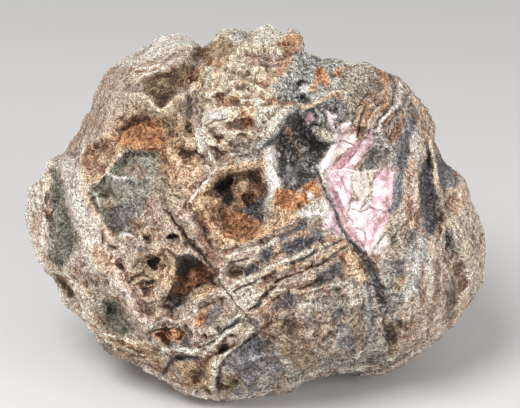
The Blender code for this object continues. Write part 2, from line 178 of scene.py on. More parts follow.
def lattice_value(cell, seed):
    """A fixed pseudo-random 32-bit number for each whole-numbered lattice cell."""
    h = cell[..., 0] * 374761393 + cell[..., 1] * 668265263 + cell[..., 2] * 1440662683 + seed * 1274126177
    h = h.astype(np.uint32)
    h = (h ^ (h >> 13)) * np.uint32(1274126177)
    return h ^ (h >> 16)


def rough(points, size, seed):
    """Gradient noise, about -1 to 1, whose lumps are `size` metres across.

    Each lattice corner has a random slope, and the eight slopes around a point are blended by the curve
    6t^5 - 15t^4 + 10t^3 along each axis."""
    scaled = points / size
    corner = np.floor(scaled).astype(np.int64)
    inside = scaled - corner
    blend = inside**3 * (inside * (inside * 6 - 15) + 10)
    total = np.zeros(len(points))
    for offset in np.ndindex(2, 2, 2):
        h = lattice_value(corner + np.array(offset), seed)
        slope = np.stack([h & 1023, (h >> 10) & 1023, (h >> 20) & 1023], 1) / 511.5 - 1
        share = np.where(offset, blend, 1 - blend).prod(1)
        total += share * (slope * (inside - offset)).sum(1)
    return total * 1.5


def folded(points, size, seed):
    """Noise folded at 0, which makes sharp crests of height 1 between rounded hollows."""
    return 1 - 2 * np.abs(rough(points, size, seed))


def broken(points):
    """The points with what lies beyond the broken faces pressed most of the way back to them."""
    size, uneven = BROKEN_UNEVEN
    for number, (way, distance) in enumerate(BROKEN_FACES):
        way = np.array(way) / np.linalg.norm(way)
        face = (distance + uneven * rough(points, size, SEEDS["faces"] + number)) * MILLIMETRE
        beyond = np.maximum(points @ way - face, 0)
        points = points - way * (beyond * BROKEN_SHARE)[:, None]
    return points


def beds(points):
    """Height of the broken bedding in millimetres: each bed rises slowly and ends in a steep, patchy edge."""
    way = np.array(BED_WAY) / np.linalg.norm(BED_WAY)
    bend_size, bend = BED_BEND
    stack = points @ way / BED_THICKNESS + bend * rough(points, bend_size, SEEDS["bed bend"])
    through = stack - np.floor(stack)
    patchy = smooth_step(*BED_PATCHES, rough(points, bend_size, SEEDS["bed patches"]))
    return BED_DROP * patchy * through * (1 - smooth_step(BED_CREST, 1, through))


def uneven_skin(points, to_front):
    """How far the skin rises, in metres: broad swells, and folded noise that makes crests between hollows.

    Along the rim the swells fade and the rest sinks by RIM_DROP, so the crests just reach it."""
    rim = np.exp(-((to_front / EVEN_BAND) ** 2))
    front = smooth_step(*FRONT_BAND, to_front)
    swell = sum(rise * rough(points, size, SEEDS["swells"] + n) for n, (size, rise) in enumerate(SWELLS))
    crest = sum(rise * folded(points, size, SEEDS["crests"] + n) for n, (size, rise) in enumerate(CRESTS))
    swell *= (1 + (FRONT_SWELL - 1) * front) * (1 + (RIM_SHARE - 1) * rim)
    crest *= 1 + (FRONT_CREST - 1) * front
    return (swell + crest + beds(points) * (1 - front) - RIM_DROP * rim) * MILLIMETRE


# ---------------------------------------------------------------------------------------------------------
# The front's own forms, placed on the sketch: domes, hollows, sunk patches, ridges, clefts, ledges and pits
# that weathering cut into the softer minerals.

# Swellings and hollows: x, y, half width, half height, turn in degrees, and rise in millimetres.
OVALS = [
    (140, 74, 66, 40, 35, 7.0),
    (104, 118, 34, 30, 60, 3.0),
    (250, 84, 58, 58, 0, 9.0),
    (232, 124, 40, 30, 0, 3.5),
    (286, 335, 92, 58, 0, 5.0),
    (232, 374, 60, 30, 0, 3.0),
    (412, 300, 50, 72, 25, 4.5),
    (42, 225, 24, 60, 4, 4.5),
    (465, 235, 26, 62, -20, 5.0),
    (392, 104, 46, 34, 35, 4.5),
    (178, 205, 34, 34, 0, 2.0),
    (300, 262, 60, 30, 25, 3.0),
    (200, 336, 44, 24, 25, 3.0),
    (150, 132, 50, 21, -8, -6.0),
    (96, 162, 26, 22, 30, -4.0),
    (300, 146, 40, 46, 10, -4.5),
    (213, 153, 36, 15, 20, -4.5),
    (226, 99, 24, 9, 12, -2.5),
    (330, 230, 26, 20, 30, -2.0),
    (290, 326, 20, 16, 60, -3.0),
    (156, 264, 28, 22, 20, -3.5),
    (262, 344, 30, 12, 30, -2.5),
    (112, 312, 14, 30, -35, -3.0),
    (60, 222, 18, 56, 5, -2.4),
    (452, 248, 16, 26, 20, -2.5),
]

# Recesses with an uneven floor: outline, the steps over which the edge slopes, and depth in millimetres.
RECESSES = [
    ([(88, 190), (100, 176), (112, 162), (128, 153), (164, 152), (176, 166), (168, 196), (150, 222),
      (134, 236), (112, 232), (98, 210)], 12, 2.8),
    ([(178, 256), (196, 257), (216, 270), (222, 284), (206, 290), (192, 298), (184, 310), (174, 318),
      (163, 306), (172, 286)], 12, 9.0),
    ([(206, 194), (216, 180), (234, 169), (258, 170), (270, 188), (270, 216), (252, 236), (226, 232),
      (212, 214)], 14, 7.5),
    ([(323, 172), (333, 150), (334, 130), (352, 122), (374, 128), (394, 150), (394, 186), (389, 215),
      (376, 246), (363, 249), (350, 232), (337, 206)], 8, 2.5),
    ([(421, 166), (430, 150), (436, 168), (441, 200), (442, 234), (430, 238), (421, 205)], 8, 2.5),
    ([(51, 168), (61, 164), (68, 196), (74, 215), (81, 236), (72, 254), (64, 272), (52, 262), (47, 235),
      (49, 205)], 9, 2.2),
    ([(101, 300), (114, 297), (128, 318), (133, 335), (117, 333), (104, 315)], 8, 3.5),
    ([(122, 92), (140, 74), (166, 66), (192, 72), (198, 88), (180, 96), (163, 111), (148, 103)], 28, 4.0),
]

# Ridges and clefts along a line: the line, half width in steps, and rise in millimetres, which is below
# zero for a cleft. Each thins towards its ends.
RIDGES = [
    ([(62, 152), (76, 186), (88, 236), (106, 276), (134, 316), (162, 352)], 18, 5.8),
    ([(198, 206), (212, 186), (226, 172), (250, 160)], 9, 3.5),
    ([(262, 146), (271, 176), (274, 208), (260, 240)], 11, 2.4),
    ([(254, 146), (275, 122), (294, 106), (334, 94)], 10, 3.5),
    ([(431, 124), (436, 160), (441, 200), (445, 248)], 6, 3.0),
    ([(126, 94), (152, 108), (162, 113), (178, 102), (198, 90)], 8, 1.8),
    ([(214, 362), (217, 390)], 7, 2.5),
    ([(232, 366), (240, 392)], 7, 2.0),
    ([(203, 40), (197, 74), (194, 112), (204, 152)], 17, -7.5),
    ([(332, 192), (345, 226), (362, 254), (378, 284), (388, 318), (389, 352)], 11, -4.0),
    ([(442, 140), (450, 190), (446, 236), (458, 280), (450, 322)], 13, -3.5),
    ([(162, 200), (186, 236), (202, 254), (220, 272)], 7, -3.0),
    ([(50, 272), (68, 280), (75, 298)], 8, -4.0),
    ([(210, 392), (186, 366), (168, 344), (166, 318)], 8, -2.0),
]

# Ledges: the line of the edge, which drops on its right as it is walked, with the steps over which it
# drops, the steps over which it fades behind the edge, and the drop in millimetres.
LEDGES = [
    ([(80, 146), (96, 146), (114, 138), (128, 122), (150, 116), (174, 116), (192, 112)], 7, 26, 2.0),
    ([(84, 192), (104, 174), (124, 156), (164, 150), (186, 146)], 5, 16, 1.2),
    ([(200, 89), (182, 94), (172, 101), (163, 111), (156, 109), (144, 98), (124, 95)], 6, 18, 2.6),
    ([(272, 100), (284, 88), (296, 72), (304, 50)], 7, 24, 2.8),
    ([(140, 326), (170, 318), (196, 300), (222, 292)], 5, 14, 1.9),
    ([(186, 346), (204, 338), (224, 324), (256, 308)], 4, 9, 1.7),
    ([(200, 360), (226, 346), (248, 330), (280, 314)], 4, 9, 1.7),
    ([(158, 374), (174, 352), (200, 352)], 4, 9, 1.9),
    ([(226, 246), (262, 240), (300, 222), (330, 214)], 4, 10, 1.2),
    ([(220, 272), (262, 258), (300, 244), (344, 236)], 4, 10, 1.4),
    ([(230, 294), (262, 278), (300, 264), (352, 248)], 4, 10, 1.4),
    ([(240, 314), (266, 296), (306, 284), (340, 276)], 4, 10, 1.2),
    ([(206, 96), (230, 92), (256, 98)], 6, 16, 2.5),
    ([(204, 122), (228, 118), (262, 122)], 6, 16, 2.5),
    ([(206, 62), (232, 62), (262, 68), (292, 60)], 6, 16, 3.0),
    ([(396, 82), (408, 104), (404, 140), (394, 160)], 6, 14, 1.5),
    ([(376, 76), (388, 104), (384, 136)], 6, 12, 1.5),
    ([(104, 350), (150, 352), (176, 380)], 6, 14, 2.0),
]

# Pits: x, y, radius in steps and depth in millimetres.
PITS = [
    (224, 181, 12, 6.0), (252, 200, 11, 4.5), (313, 146, 15, 4.5), (200, 373, 14, 5.5), (224, 380, 9, 4.0),
    (238, 378, 9, 3.5), (158, 350, 10, 4.0), (184, 334, 11, 4.0), (225, 346, 10, 4.5), (148, 291, 10, 4.0),
    (302, 82, 7, 3.5), (305, 96, 7, 3.5), (222, 131, 11, 4.0), (236, 268, 11, 3.5), (122, 264, 7, 3.0),
    (153, 263, 8, 3.5), (172, 236, 7, 3.0), (188, 158, 11, 3.5), (400, 324, 7, 2.5), (148, 236, 6, 2.5),
]

# How far the features wander on the sketch: the size of the bends in metres, and steps sideways.
WANDER = [(0.024, 6.0), (0.009, 4.0)]

# How much the lines vary along their way, what is left of a ridge at its ends, the parts of a ledge that
# stand up and sink, and the shares of the way to the front over which the features come in.
VARY = (0.014, 0.7)
RIDGE_END_WIDTH = 0.61
RIDGE_END_RISE = 0.35
LEDGE_LIP = 0.6
LEDGE_FOOT = 0.5
LEDGE_FOOT_WIDTH = 1.5
SEEN_BAND = (-0.05, 0.30)


def dome(reach):
    """1 where reach is 0, falling as (1 - reach^2)^2 to 0 where it is 1 and beyond."""
    return np.clip(1 - reach**2, 0, 1) ** 2


def oval_reach(x, y, centre_x, centre_y, half_width, half_height, turn):
    """Distance from an oval's middle, as a share of its radius in that direction."""
    c, s = math.cos(math.radians(turn)), math.sin(math.radians(turn))
    along = (x - centre_x) * c - (y - centre_y) * s
    across = (x - centre_x) * s + (y - centre_y) * c
    return np.hypot(along / half_width, across / half_height)


def from_line(x, y, line):
    """Distance in steps to the nearest stretch of a line, above zero on its right as it is walked.

    The second value is how far along the line that nearest place is, from 0 to 1."""
    nearest = np.full(len(x), np.inf)
    side = np.ones(len(x))
    place = np.zeros(len(x))
    walked = 0
    for (x0, y0), (x1, y1) in zip(line[:-1], line[1:]):
        dx, dy = x1 - x0, y1 - y0
        length = math.hypot(dx, dy)
        t = np.clip(((x - x0) * dx + (y - y0) * dy) / length**2, 0, 1)
        distance = np.hypot(x - x0 - t * dx, y - y0 - t * dy)
        closer = distance < nearest
        nearest[closer] = distance[closer]
        side[closer] = np.where((y - y0) * dx - (x - x0) * dy > 0, 1, -1)[closer]
        place[closer] = (walked + t * length)[closer]
        walked += length
    return nearest * side, place / walked


def depth_inside(x, y, outline):
    """Distance on the sketch to a closed outline's edge, above zero inside it and below zero outside."""
    inside = np.zeros(len(x), bool)
    for (x0, y0), (x1, y1) in zip(outline, outline[1:] + outline[:1]):
        if y0 != y1:
            inside ^= ((y0 > y) != (y1 > y)) & (x < (x1 - x0) * (y - y0) / (y1 - y0) + x0)
    distance, _ = from_line(x, y, outline + outline[:1])
    return np.where(inside, 1, -1) * np.abs(distance)


def on_sketch(points):
    """Where the points are seen on the front sketch, from VIEWING_DISTANCE."""
    growth = VIEWING_DISTANCE / (VIEWING_DISTANCE - points[:, 2]) / STEP
    return SKETCH_CENTRE[0] + points[:, 0] * growth, SKETCH_CENTRE[1] - points[:, 1] * growth


def tapered(place, at_ends):
    """1 in the middle of a line, falling to `at_ends` along the curve of a half circle."""
    return at_ends + (1 - at_ends) * np.sqrt(4 * place * (1 - place))


def front_relief(x, y, vary):
    """Height in metres of the front's features. `vary`, about 1, makes a line stronger here, weaker there."""
    height = np.zeros(len(x))
    for *oval, rise in OVALS:
        height += rise * dome(oval_reach(x, y, *oval))
    for outline, slope, depth in RECESSES:
        height -= depth * smooth_step(-slope / 3, 2 * slope / 3, depth_inside(x, y, outline))
    for line, half_width, rise in RIDGES:
        distance, place = from_line(x, y, line)
        width = half_width * tapered(place, RIDGE_END_WIDTH)
        height += rise * vary * tapered(place, RIDGE_END_RISE) * dome(distance / width)
    for line, drop_width, fade_width, drop in LEDGES:
        distance, place = from_line(x, y, line)
        behind = dome(np.minimum(distance, 0) / fade_width)
        lip = behind * (1 - smooth_step(-drop_width / 2, drop_width, distance))
        foot = dome((distance - drop_width) / (LEDGE_FOOT_WIDTH * drop_width))
        height += drop * vary * tapered(place, 0) * (LEDGE_LIP * lip - LEDGE_FOOT * foot)
    for pit_x, pit_y, radius, depth in PITS:
        height -= depth * dome(np.hypot(x - pit_x, y - pit_y) / radius)
    return height * MILLIMETRE


def trimmed(points):
    """The points with what shows outside the outline drawn in, all but OVERHANG of it."""
    x, y = on_sketch(points)
    across, up = x - SKETCH_CENTRE[0], SKETCH_CENTRE[1] - y
    reach = np.maximum(np.hypot(across, up), 1) * STEP
    exact, _ = rim_radius(np.arctan2(up, across))
    kept = np.minimum(1, exact / reach + OVERHANG * (1 - exact / reach))
    return points * np.stack([kept, kept, np.ones(len(points))], 1)


def to_viewer(points):
    """Unit directions from the points to the eye that sees the sketch."""
    way = np.array([0, 0, VIEWING_DISTANCE]) - points
    return way / np.linalg.norm(way, axis=1)[:, None]


def stone_surface(ball):
    """The stone's forms, as points in the sketch's own axes: right, up and towards the viewer."""
    to_front = ball[:, 2]
    points = broken(plain_form(ball))
    out = points / np.linalg.norm(points, axis=1)[:, None]
    points = trimmed(points + out * uneven_skin(points, to_front)[:, None])
    x, y = on_sketch(points)
    for number, (size, steps) in enumerate(WANDER):
        x += steps * rough(points, size, SEEDS["wander across"] + number)
        y += steps * rough(points, size, SEEDS["wander down"] + number)
    vary_size, vary_share = VARY
    vary = 1 + vary_share * rough(points, vary_size, SEEDS["vary"])
    seen = smooth_step(*SEEN_BAND, to_front)
    return points + to_viewer(points) * (front_relief(x, y, vary) * seen)[:, None]


# ---------------------------------------------------------------------------------------------------------
# The minerals. Each is one kind of surface of the stone: its colour, the colour of its stains and how much
# of it they take, how strongly it is lumpy, pitted, grained, speckled and banded, and how smooth it is.

MINERALS = {
    "tan_crust": ((194, 177, 160), (168, 130, 102), 0.42, 0.9, 0.35, 1.0, 0.2, 0.0, 0.0),
    "pale_skin": ((190, 168, 150), (168, 136, 112), 0.30, 0.3, 0.05, 0.9, 0.1, 0.1, 0.0),
    "white_skin": ((226, 215, 203), (208, 188, 168), 0.30, 0.3, 0.1, 0.8, 0.1, 0.0, 0.0),
    "brown_crust": ((184, 158, 128), (138, 100, 68), 0.45, 0.9, 0.3, 1.1, 0.1, 0.0, 0.0),
    "hollow_brown": ((152, 128, 98), (108, 80, 54), 0.45, 0.7, 0.3, 1.1, 0.1, 0.0, 0.0),
    "earth": ((84, 64, 46), (48, 35, 26), 0.40, 0.7, 0.3, 1.0, 0.0, 0.0, 0.0),
    "rust": ((206, 150, 106), (160, 96, 58), 0.45, 1.0, 0.4, 1.1, 0.1, 0.0, 0.0),
    "dark_rust": ((134, 90, 64), (78, 52, 38), 0.45, 1.0, 0.4, 1.1, 0.0, 0.0, 0.0),
    "ochre": ((220, 185, 150), (188, 134, 96), 0.40, 0.8, 0.3, 1.1, 0.1, 0.0, 0.0),
    "ridge_crust": ((222, 206, 196), (192, 156, 138), 0.35, 0.5, 0.2, 1.0, 0.2, 0.0, 0.0),
    "pink_crust": ((196, 174, 158), (166, 128, 106), 0.35, 0.6, 0.3, 1.0, 0.1, 0.0, 0.0),
    "peach_crust": ((226, 194, 168), (200, 150, 116), 0.35, 0.4, 0.1, 0.9, 0.1, 0.0, 0.0),
    "lobe_crust": ((252, 233, 206), (224, 182, 148), 0.25, 0.6, 0.3, 1.0, 0.1, 0.0, 0.0),
    "green_grey": ((160, 156, 143), (126, 116, 98), 0.40, 0.5, 0.2, 1.1, 0.3, 0.0, 0.0),
    "dark_green": ((130, 126, 107), (92, 86, 69), 0.40, 0.6, 0.3, 1.1, 0.3, 0.0, 0.0),
    "vuggy_crust": ((228, 206, 182), (184, 134, 98), 0.40, 1.0, 1.9, 0.9, 0.2, 0.0, 0.0),
    "grey_grain": ((198, 194, 183), (132, 130, 124), 0.40, 0.6, 0.3, 1.1, 1.0, 0.0, 0.0),
    "olive_cream": ((206, 194, 176), (158, 140, 120), 0.40, 0.7, 0.4, 1.1, 0.6, 0.0, 0.0),
    "orange": ((208, 152, 108), (170, 108, 72), 0.40, 0.8, 0.3, 1.1, 0.1, 0.0, 0.0),
    "black_oxide": ((36, 35, 37), (170, 170, 166), 0.22, 1.6, 0.6, 1.2, 0.5, 0.0, 0.3),
    "jet": ((31, 28, 27), (58, 49, 42), 0.30, 0.8, 0.2, 0.8, 0.1, 0.0, 0.3),
    "mottled_grey": ((172, 165, 154), (118, 112, 106), 0.45, 0.7, 0.3, 1.1, 0.8, 0.1, 0.0),
    "chalk": ((244, 238, 226), (218, 208, 192), 0.35, 0.4, 0.1, 0.8, 0.1, 0.0, 0.0),
    "cream": ((236, 224, 206), (210, 182, 152), 0.35, 0.5, 0.2, 1.0, 0.1, 0.0, 0.0),
    "peach_spar": ((252, 234, 228), (240, 214, 204), 0.35, 0.2, 0.0, 0.4, 0.0, 0.0, 0.5),
    "mauve_spar": ((204, 160, 164), (176, 130, 136), 0.35, 0.15, 0.0, 0.4, 0.0, 0.0, 0.5),
    "lilac_spar": ((232, 204, 212), (210, 174, 184), 0.35, 0.15, 0.0, 0.4, 0.0, 0.0, 0.5),
    "pink_spar": ((250, 218, 222), (242, 200, 204), 0.35, 0.2, 0.0, 0.4, 0.0, 0.0, 0.5),
    "rose_spar": ((246, 214, 222), (236, 192, 204), 0.35, 0.2, 0.0, 0.4, 0.0, 0.0, 0.5),
    "white_spar": ((208, 199, 195), (198, 184, 176), 0.35, 0.2, 0.0, 0.4, 0.0, 0.0, 0.5),
    "banded": ((184, 166, 148), (154, 120, 96), 0.30, 0.5, 0.2, 1.0, 0.4, 1.0, 0.0),
    "blue_grey": ((118, 121, 130), (80, 80, 87), 0.40, 0.4, 0.1, 1.0, 0.4, 0.2, 0.2),
    "slate": ((64, 66, 76), (122, 114, 108), 0.25, 0.6, 0.2, 1.0, 0.4, 0.2, 0.2),
    "pale_streak": ((222, 214, 205), (184, 162, 146), 0.30, 0.4, 0.1, 1.0, 0.2, 0.6, 0.0),
    "brown_streak": ((212, 190, 174), (176, 140, 118), 0.35, 0.4, 0.1, 1.0, 0.2, 0.9, 0.0),
    "speckled": ((200, 190, 177), (142, 118, 100), 0.42, 0.9, 0.3, 1.0, 0.5, 0.8, 0.0),
    "brown_fan": ((166, 144, 120), (124, 100, 78), 0.40, 0.6, 0.3, 1.1, 0.3, 0.2, 0.0),
    "far_lobe": ((226, 202, 182), (190, 152, 126), 0.35, 0.5, 0.15, 1.0, 0.3, 0.4, 0.0),
}
GROUND = "tan_crust"

# Where a mineral's row, as mineral_row makes it, holds each measure.
COLOUR, STAIN = slice(0, 3), slice(3, 6)
STAINED, LUMPY, PITTED, GRAINED, SPECKLED, BANDED, SMOOTH = range(6, 13)

# Patches, from the first laid to the last: mineral, softness of the edge in steps, strength, and outline.
PATCHES = [
    # The left dome and the hollow in its face.
    ("pale_skin", 6, 1, [(64, 150), (60, 100), (100, 60), (150, 20), (200, 20), (204, 54), (192, 62),
        (176, 66), (152, 72), (140, 80), (138, 92), (124, 102), (116, 122), (110, 138), (84, 146)]),
    # The pale top edge of the dome: partly pale skin and partly painted highlight.
    ("white_skin", 5, 1, [(114, 64), (150, 26), (176, 20), (200, 36), (196, 46), (184, 46), (170, 51),
        (158, 58), (142, 62), (124, 64)]),
    ("brown_crust", 6, 0.6, [(122, 106), (136, 98), (150, 104), (160, 112), (180, 100), (192, 112),
        (188, 124), (166, 122), (146, 116), (130, 124), (116, 132)]),
    # The browns, earth and rust in the hollow: partly its own colour and partly painted shade.
    ("hollow_brown", 4, 1, [(141, 80), (152, 75), (168, 72), (180, 64), (191, 63), (190, 76), (180, 88),
        (171, 99), (163, 107), (156, 103), (148, 92)]),
    ("earth", 5, 0.5, [(176, 66), (190, 64), (186, 76), (172, 86), (166, 80)]),
    ("dark_rust", 4, 0.8, [(155, 94), (170, 92), (165, 103), (159, 104)]),
    ("ochre", 5, 0.9, [(188, 68), (203, 64), (207, 76), (200, 92), (186, 90), (180, 84)]),
    # The rust pocket and the tan one to its left.
    ("ochre", 6, 0.9, [(104, 140), (116, 126), (136, 114), (160, 114), (182, 122), (184, 140), (166, 152),
        (130, 152)]),
    ("rust", 4, 1, [(114, 142), (122, 130), (136, 120), (154, 116), (168, 124), (174, 136), (164, 146),
        (150, 151), (134, 150), (120, 150)]),
    ("orange", 3, 0.7, [(146, 124), (160, 124), (163, 134), (150, 142), (140, 138), (136, 130)]),
    # The dark band along the pocket's top edge, under the dome's overhang: partly dark earth and partly
    # painted shadow.
    ("earth", 3, 0.7, [(112, 128), (124, 126), (136, 118), (150, 115), (154, 117), (140, 121), (130, 127),
        (118, 134)]),
    ("brown_crust", 5, 0.8, [(162, 118), (192, 118), (204, 140), (206, 160), (188, 160), (176, 148),
        (164, 146)]),
    ("dark_rust", 4, 0.7, [(184, 144), (200, 146), (208, 160), (196, 162), (180, 154)]),
    ("ochre", 4, 1, [(79, 150), (108, 144), (122, 148), (110, 166), (98, 179), (86, 183), (81, 166)]),
    ("peach_crust", 5, 0.7, [(86, 158), (106, 152), (108, 164), (98, 175), (86, 178)]),
    # The two dark spots under the tan pocket's overhanging top edge are painted shade.
    ("hollow_brown", 3, 0.7, [(83, 149), (92, 147), (92, 154), (86, 156)]),
    ("hollow_brown", 3, 0.7, [(100, 146), (111, 145), (109, 154), (102, 156)]),
    # The left lobe, its grey recess, the pale ridge and the grey recess behind that.
    ("lobe_crust", 4, 1, [(10, 170), (46, 150), (57, 168), (50, 200), (46, 236), (46, 256), (58, 268),
        (48, 280), (20, 250)]),
    ("green_grey", 2.5, 1, [(52, 166), (58, 172), (62, 186), (66, 205), (73, 222), (80, 240), (74, 252),
        (66, 261), (60, 268), (50, 262), (46, 250), (47, 236), (51, 218), (50, 190)]),
    ("dark_green", 4, 0.6, [(52, 170), (59, 174), (62, 196), (52, 196)]),
    ("dark_green", 4, 0.5, [(58, 206), (66, 210), (70, 226), (60, 246), (54, 236)]),
    ("ridge_crust", 4, 1, [(57, 160), (72, 146), (86, 146), (83, 162), (84, 178), (90, 200), (100, 220),
        (112, 242), (126, 262), (140, 286), (150, 310), (148, 322), (134, 312), (118, 292), (104, 276),
        (84, 272), (70, 262), (78, 250), (81, 240), (73, 220), (66, 200), (62, 180)]),
    ("green_grey", 3, 1, [(86, 188), (98, 180), (106, 172), (113, 163), (122, 154), (138, 151),
        (162, 152), (162, 166), (154, 178), (150, 196), (145, 208), (138, 218), (130, 232), (118, 232),
        (108, 224), (98, 212), (92, 200)]),
    ("dark_green", 4, 0.7, [(110, 168), (120, 158), (132, 158), (124, 168), (112, 174)]),
    ("dark_green", 4, 0.6, [(92, 188), (116, 180), (120, 194), (112, 200), (100, 198)]),
    ("earth", 3, 0.8, [(100, 187), (110, 186), (114, 192), (106, 196)]),
    ("tan_crust", 3, 0.6, [(96, 197), (108, 192), (118, 202), (108, 212)]),
    ("tan_crust", 3, 0.6, [(126, 170), (140, 162), (148, 172), (136, 182)]),
    ("tan_crust", 3, 0.5, [(126, 212), (138, 206), (138, 220), (130, 226)]),
    ("blue_grey", 6, 0.45, [(106, 208), (124, 200), (142, 196), (142, 212), (128, 226), (112, 222)]),
    ("olive_cream", 5, 0.6, [(178, 176), (196, 174), (200, 190), (186, 198), (176, 190)]),
    ("pink_crust", 6, 0.6, [(150, 196), (182, 200), (196, 222), (186, 238), (164, 226), (144, 214)]),
    ("ochre", 8, 0.7, [(160, 152), (186, 148), (202, 166), (204, 190), (190, 204), (176, 190),
        (162, 176)]),
    ("brown_fan", 5, 0.6, [(158, 182), (170, 176), (184, 186), (184, 204), (168, 204)]),
    ("dark_rust", 4, 0.8, [(194, 206), (204, 208), (208, 224), (214, 244), (220, 262), (208, 258),
        (200, 240), (196, 224)]),
    ("ochre", 8, 0.6, [(84, 246), (104, 246), (128, 262), (136, 280), (120, 282), (98, 270)]),
    # The pitted top.
    ("vuggy_crust", 5, 1, [(206, 52), (220, 20), (300, 20), (304, 56), (292, 70), (276, 94), (264, 122),
        (254, 146), (236, 164), (208, 168), (196, 150), (198, 110), (204, 76)]),
    ("brown_crust", 3, 1, [(202, 50), (214, 42), (224, 38), (234, 44), (236, 52), (226, 58), (213, 61),
        (205, 66)]),
    ("white_skin", 4, 0.7, [(222, 22), (290, 20), (286, 36), (266, 44), (246, 45), (230, 40)]),
    ("brown_crust", 4, 0.6, [(226, 72), (252, 72), (254, 84), (238, 88), (226, 82)]),
    ("rust", 4, 0.5, [(206, 56), (220, 60), (222, 72), (210, 76)]),
    ("ochre", 4, 0.6, [(204, 84), (218, 88), (216, 98), (204, 98)]),
    ("grey_grain", 4, 0.7, [(226, 26), (248, 28), (246, 38), (234, 42), (228, 36)]),
    ("brown_streak", 4, 0.9, [(242, 50), (276, 52), (300, 44), (298, 64), (276, 70), (250, 63)]),
    ("rust", 4, 0.7, [(284, 36), (302, 34), (302, 58), (288, 78), (278, 84), (280, 60)]),
    ("rust", 3, 0.9, [(221, 101), (228, 96), (237, 96), (232, 103), (223, 106)]),
    ("rust", 3, 0.7, [(240, 113), (262, 112), (264, 124), (246, 127)]),
    ("rust", 3, 0.7, [(262, 98), (276, 97), (294, 102), (290, 107), (272, 106)]),
    ("chalk", 3, 0.9, [(206, 111), (224, 111), (230, 117), (210, 119)]),
    ("chalk", 3, 0.8, [(184, 100), (192, 100), (194, 116), (187, 116)]),
    ("earth", 3, 0.8, [(236, 84), (249, 84), (248, 91), (238, 91)]),
    ("earth", 3, 0.8, [(224, 87), (233, 87), (231, 92), (224, 91)]),
    ("mottled_grey", 5, 0.7, [(230, 138), (262, 140), (258, 160), (236, 164)]),
    ("hollow_brown", 3, 0.8, [(212, 148), (222, 148), (232, 158), (222, 164), (212, 158)]),
    # The pitted ground, the swirl and the rust cavity below the middle.
    ("brown_crust", 5, 0.8, [(140, 252), (160, 250), (172, 254), (174, 266), (168, 280), (150, 286),
        (132, 284), (130, 272)]),
    ("ochre", 3, 0.9, [(160, 272), (174, 262), (178, 272), (174, 284), (160, 286)]),
    ("hollow_brown", 2.5, 0.9, [(143, 286), (152, 286), (153, 296), (144, 296)]),
    ("pink_crust", 6, 0.8, [(120, 276), (142, 288), (164, 306), (176, 320), (150, 322), (130, 306)]),
    ("lobe_crust", 5, 1, [(44, 262), (62, 270), (80, 284), (92, 300), (98, 330), (104, 352), (60, 320),
        (40, 290)]),
    ("olive_cream", 4, 0.8, [(90, 280), (100, 280), (112, 296), (124, 308), (116, 312), (102, 302),
        (92, 304)]),
    ("dark_green", 3, 1, [(102, 301), (112, 303), (120, 311), (127, 320), (130, 331), (118, 334),
        (107, 330), (103, 316)]),
    ("hollow_brown", 2.5, 1, [(53, 274), (64, 275), (72, 284), (75, 297), (69, 300), (64, 290),
        (56, 281)]),
    ("earth", 2.5, 0.7, [(66, 288), (74, 290), (74, 299), (68, 299)]),
    ("ochre", 5, 0.9, [(104, 337), (136, 338), (164, 352), (158, 366), (132, 358), (110, 350)]),
    ("slate", 3, 0.7, [(98, 338), (110, 346), (112, 356), (102, 350)]),
    ("dark_rust", 2.5, 1, [(176, 258), (184, 254), (197, 256), (207, 262), (217, 268), (217, 279),
        (205, 283), (194, 286), (188, 293), (182, 301), (176, 307), (168, 301), (171, 290), (176, 276)]),
    ("jet", 2, 1, [(174, 256), (193, 252), (199, 262), (189, 275), (176, 275)]),
    ("rust", 3, 0.5, [(192, 268), (212, 270), (210, 280), (194, 284), (184, 294), (180, 290)]),
    ("blue_grey", 3, 0.8, [(172, 299), (182, 296), (184, 304), (174, 311)]),
    ("ochre", 3, 1, [(189, 294), (198, 285), (216, 281), (224, 286), (206, 292), (192, 300)]),
    ("rust", 3, 0.9, [(150, 334), (162, 329), (178, 328), (186, 338), (176, 342), (158, 340)]),
    ("slate", 3, 0.8, [(166, 341), (175, 339), (176, 348), (168, 348)]),
    ("slate", 3, 0.9, [(180, 342), (191, 340), (191, 349), (182, 349)]),
    ("hollow_brown", 3, 0.9, [(151, 350), (160, 344), (163, 350), (156, 357)]),
    ("rust", 3, 0.9, [(192, 322), (198, 312), (208, 306), (208, 316), (200, 327)]),
    ("slate", 4, 0.8, [(206, 310), (216, 303), (224, 302), (222, 312), (212, 324), (204, 324)]),
    ("blue_grey", 5, 0.8, [(222, 362), (240, 344), (264, 334), (268, 396), (236, 398)]),
    ("ochre", 4, 0.8, [(176, 362), (212, 360), (214, 390), (196, 388), (182, 376)]),
    ("earth", 3, 0.4, [(187, 368), (200, 367), (209, 373), (208, 379), (194, 378)]),
    ("earth", 3, 0.9, [(215, 346), (227, 342), (230, 349), (221, 352)]),
    ("hollow_brown", 3, 0.9, [(225, 374), (236, 374), (240, 390), (226, 392)]),
    # The deep cavity and the ochre round it.
    ("ochre", 5, 0.9, [(198, 206), (206, 184), (222, 168), (262, 158), (300, 196), (300, 222), (262, 246),
        (220, 246), (206, 226)]),
    ("dark_rust", 4, 0.7, [(210, 190), (222, 174), (256, 170), (268, 190), (262, 214), (230, 220),
        (216, 206)]),
    # The black in the cavity's hole is partly dark mineral and partly painted shade.
    ("jet", 3, 1, [(211, 184), (220, 174), (233, 172), (232, 188), (236, 200), (230, 208), (218, 202)]),
    ("ochre", 3, 1, [(234, 176), (248, 172), (254, 186), (248, 194), (238, 192)]),
    ("ochre", 3, 0.9, [(204, 196), (214, 190), (222, 198), (220, 212), (210, 216), (203, 208)]),
    ("green_grey", 3, 0.8, [(262, 196), (268, 194), (272, 212), (266, 222), (262, 210)]),
    ("rust", 5, 0.8, [(222, 214), (262, 216), (266, 232), (240, 244), (220, 234)]),
    ("orange", 5, 0.6, [(226, 218), (250, 218), (254, 230), (236, 236)]),
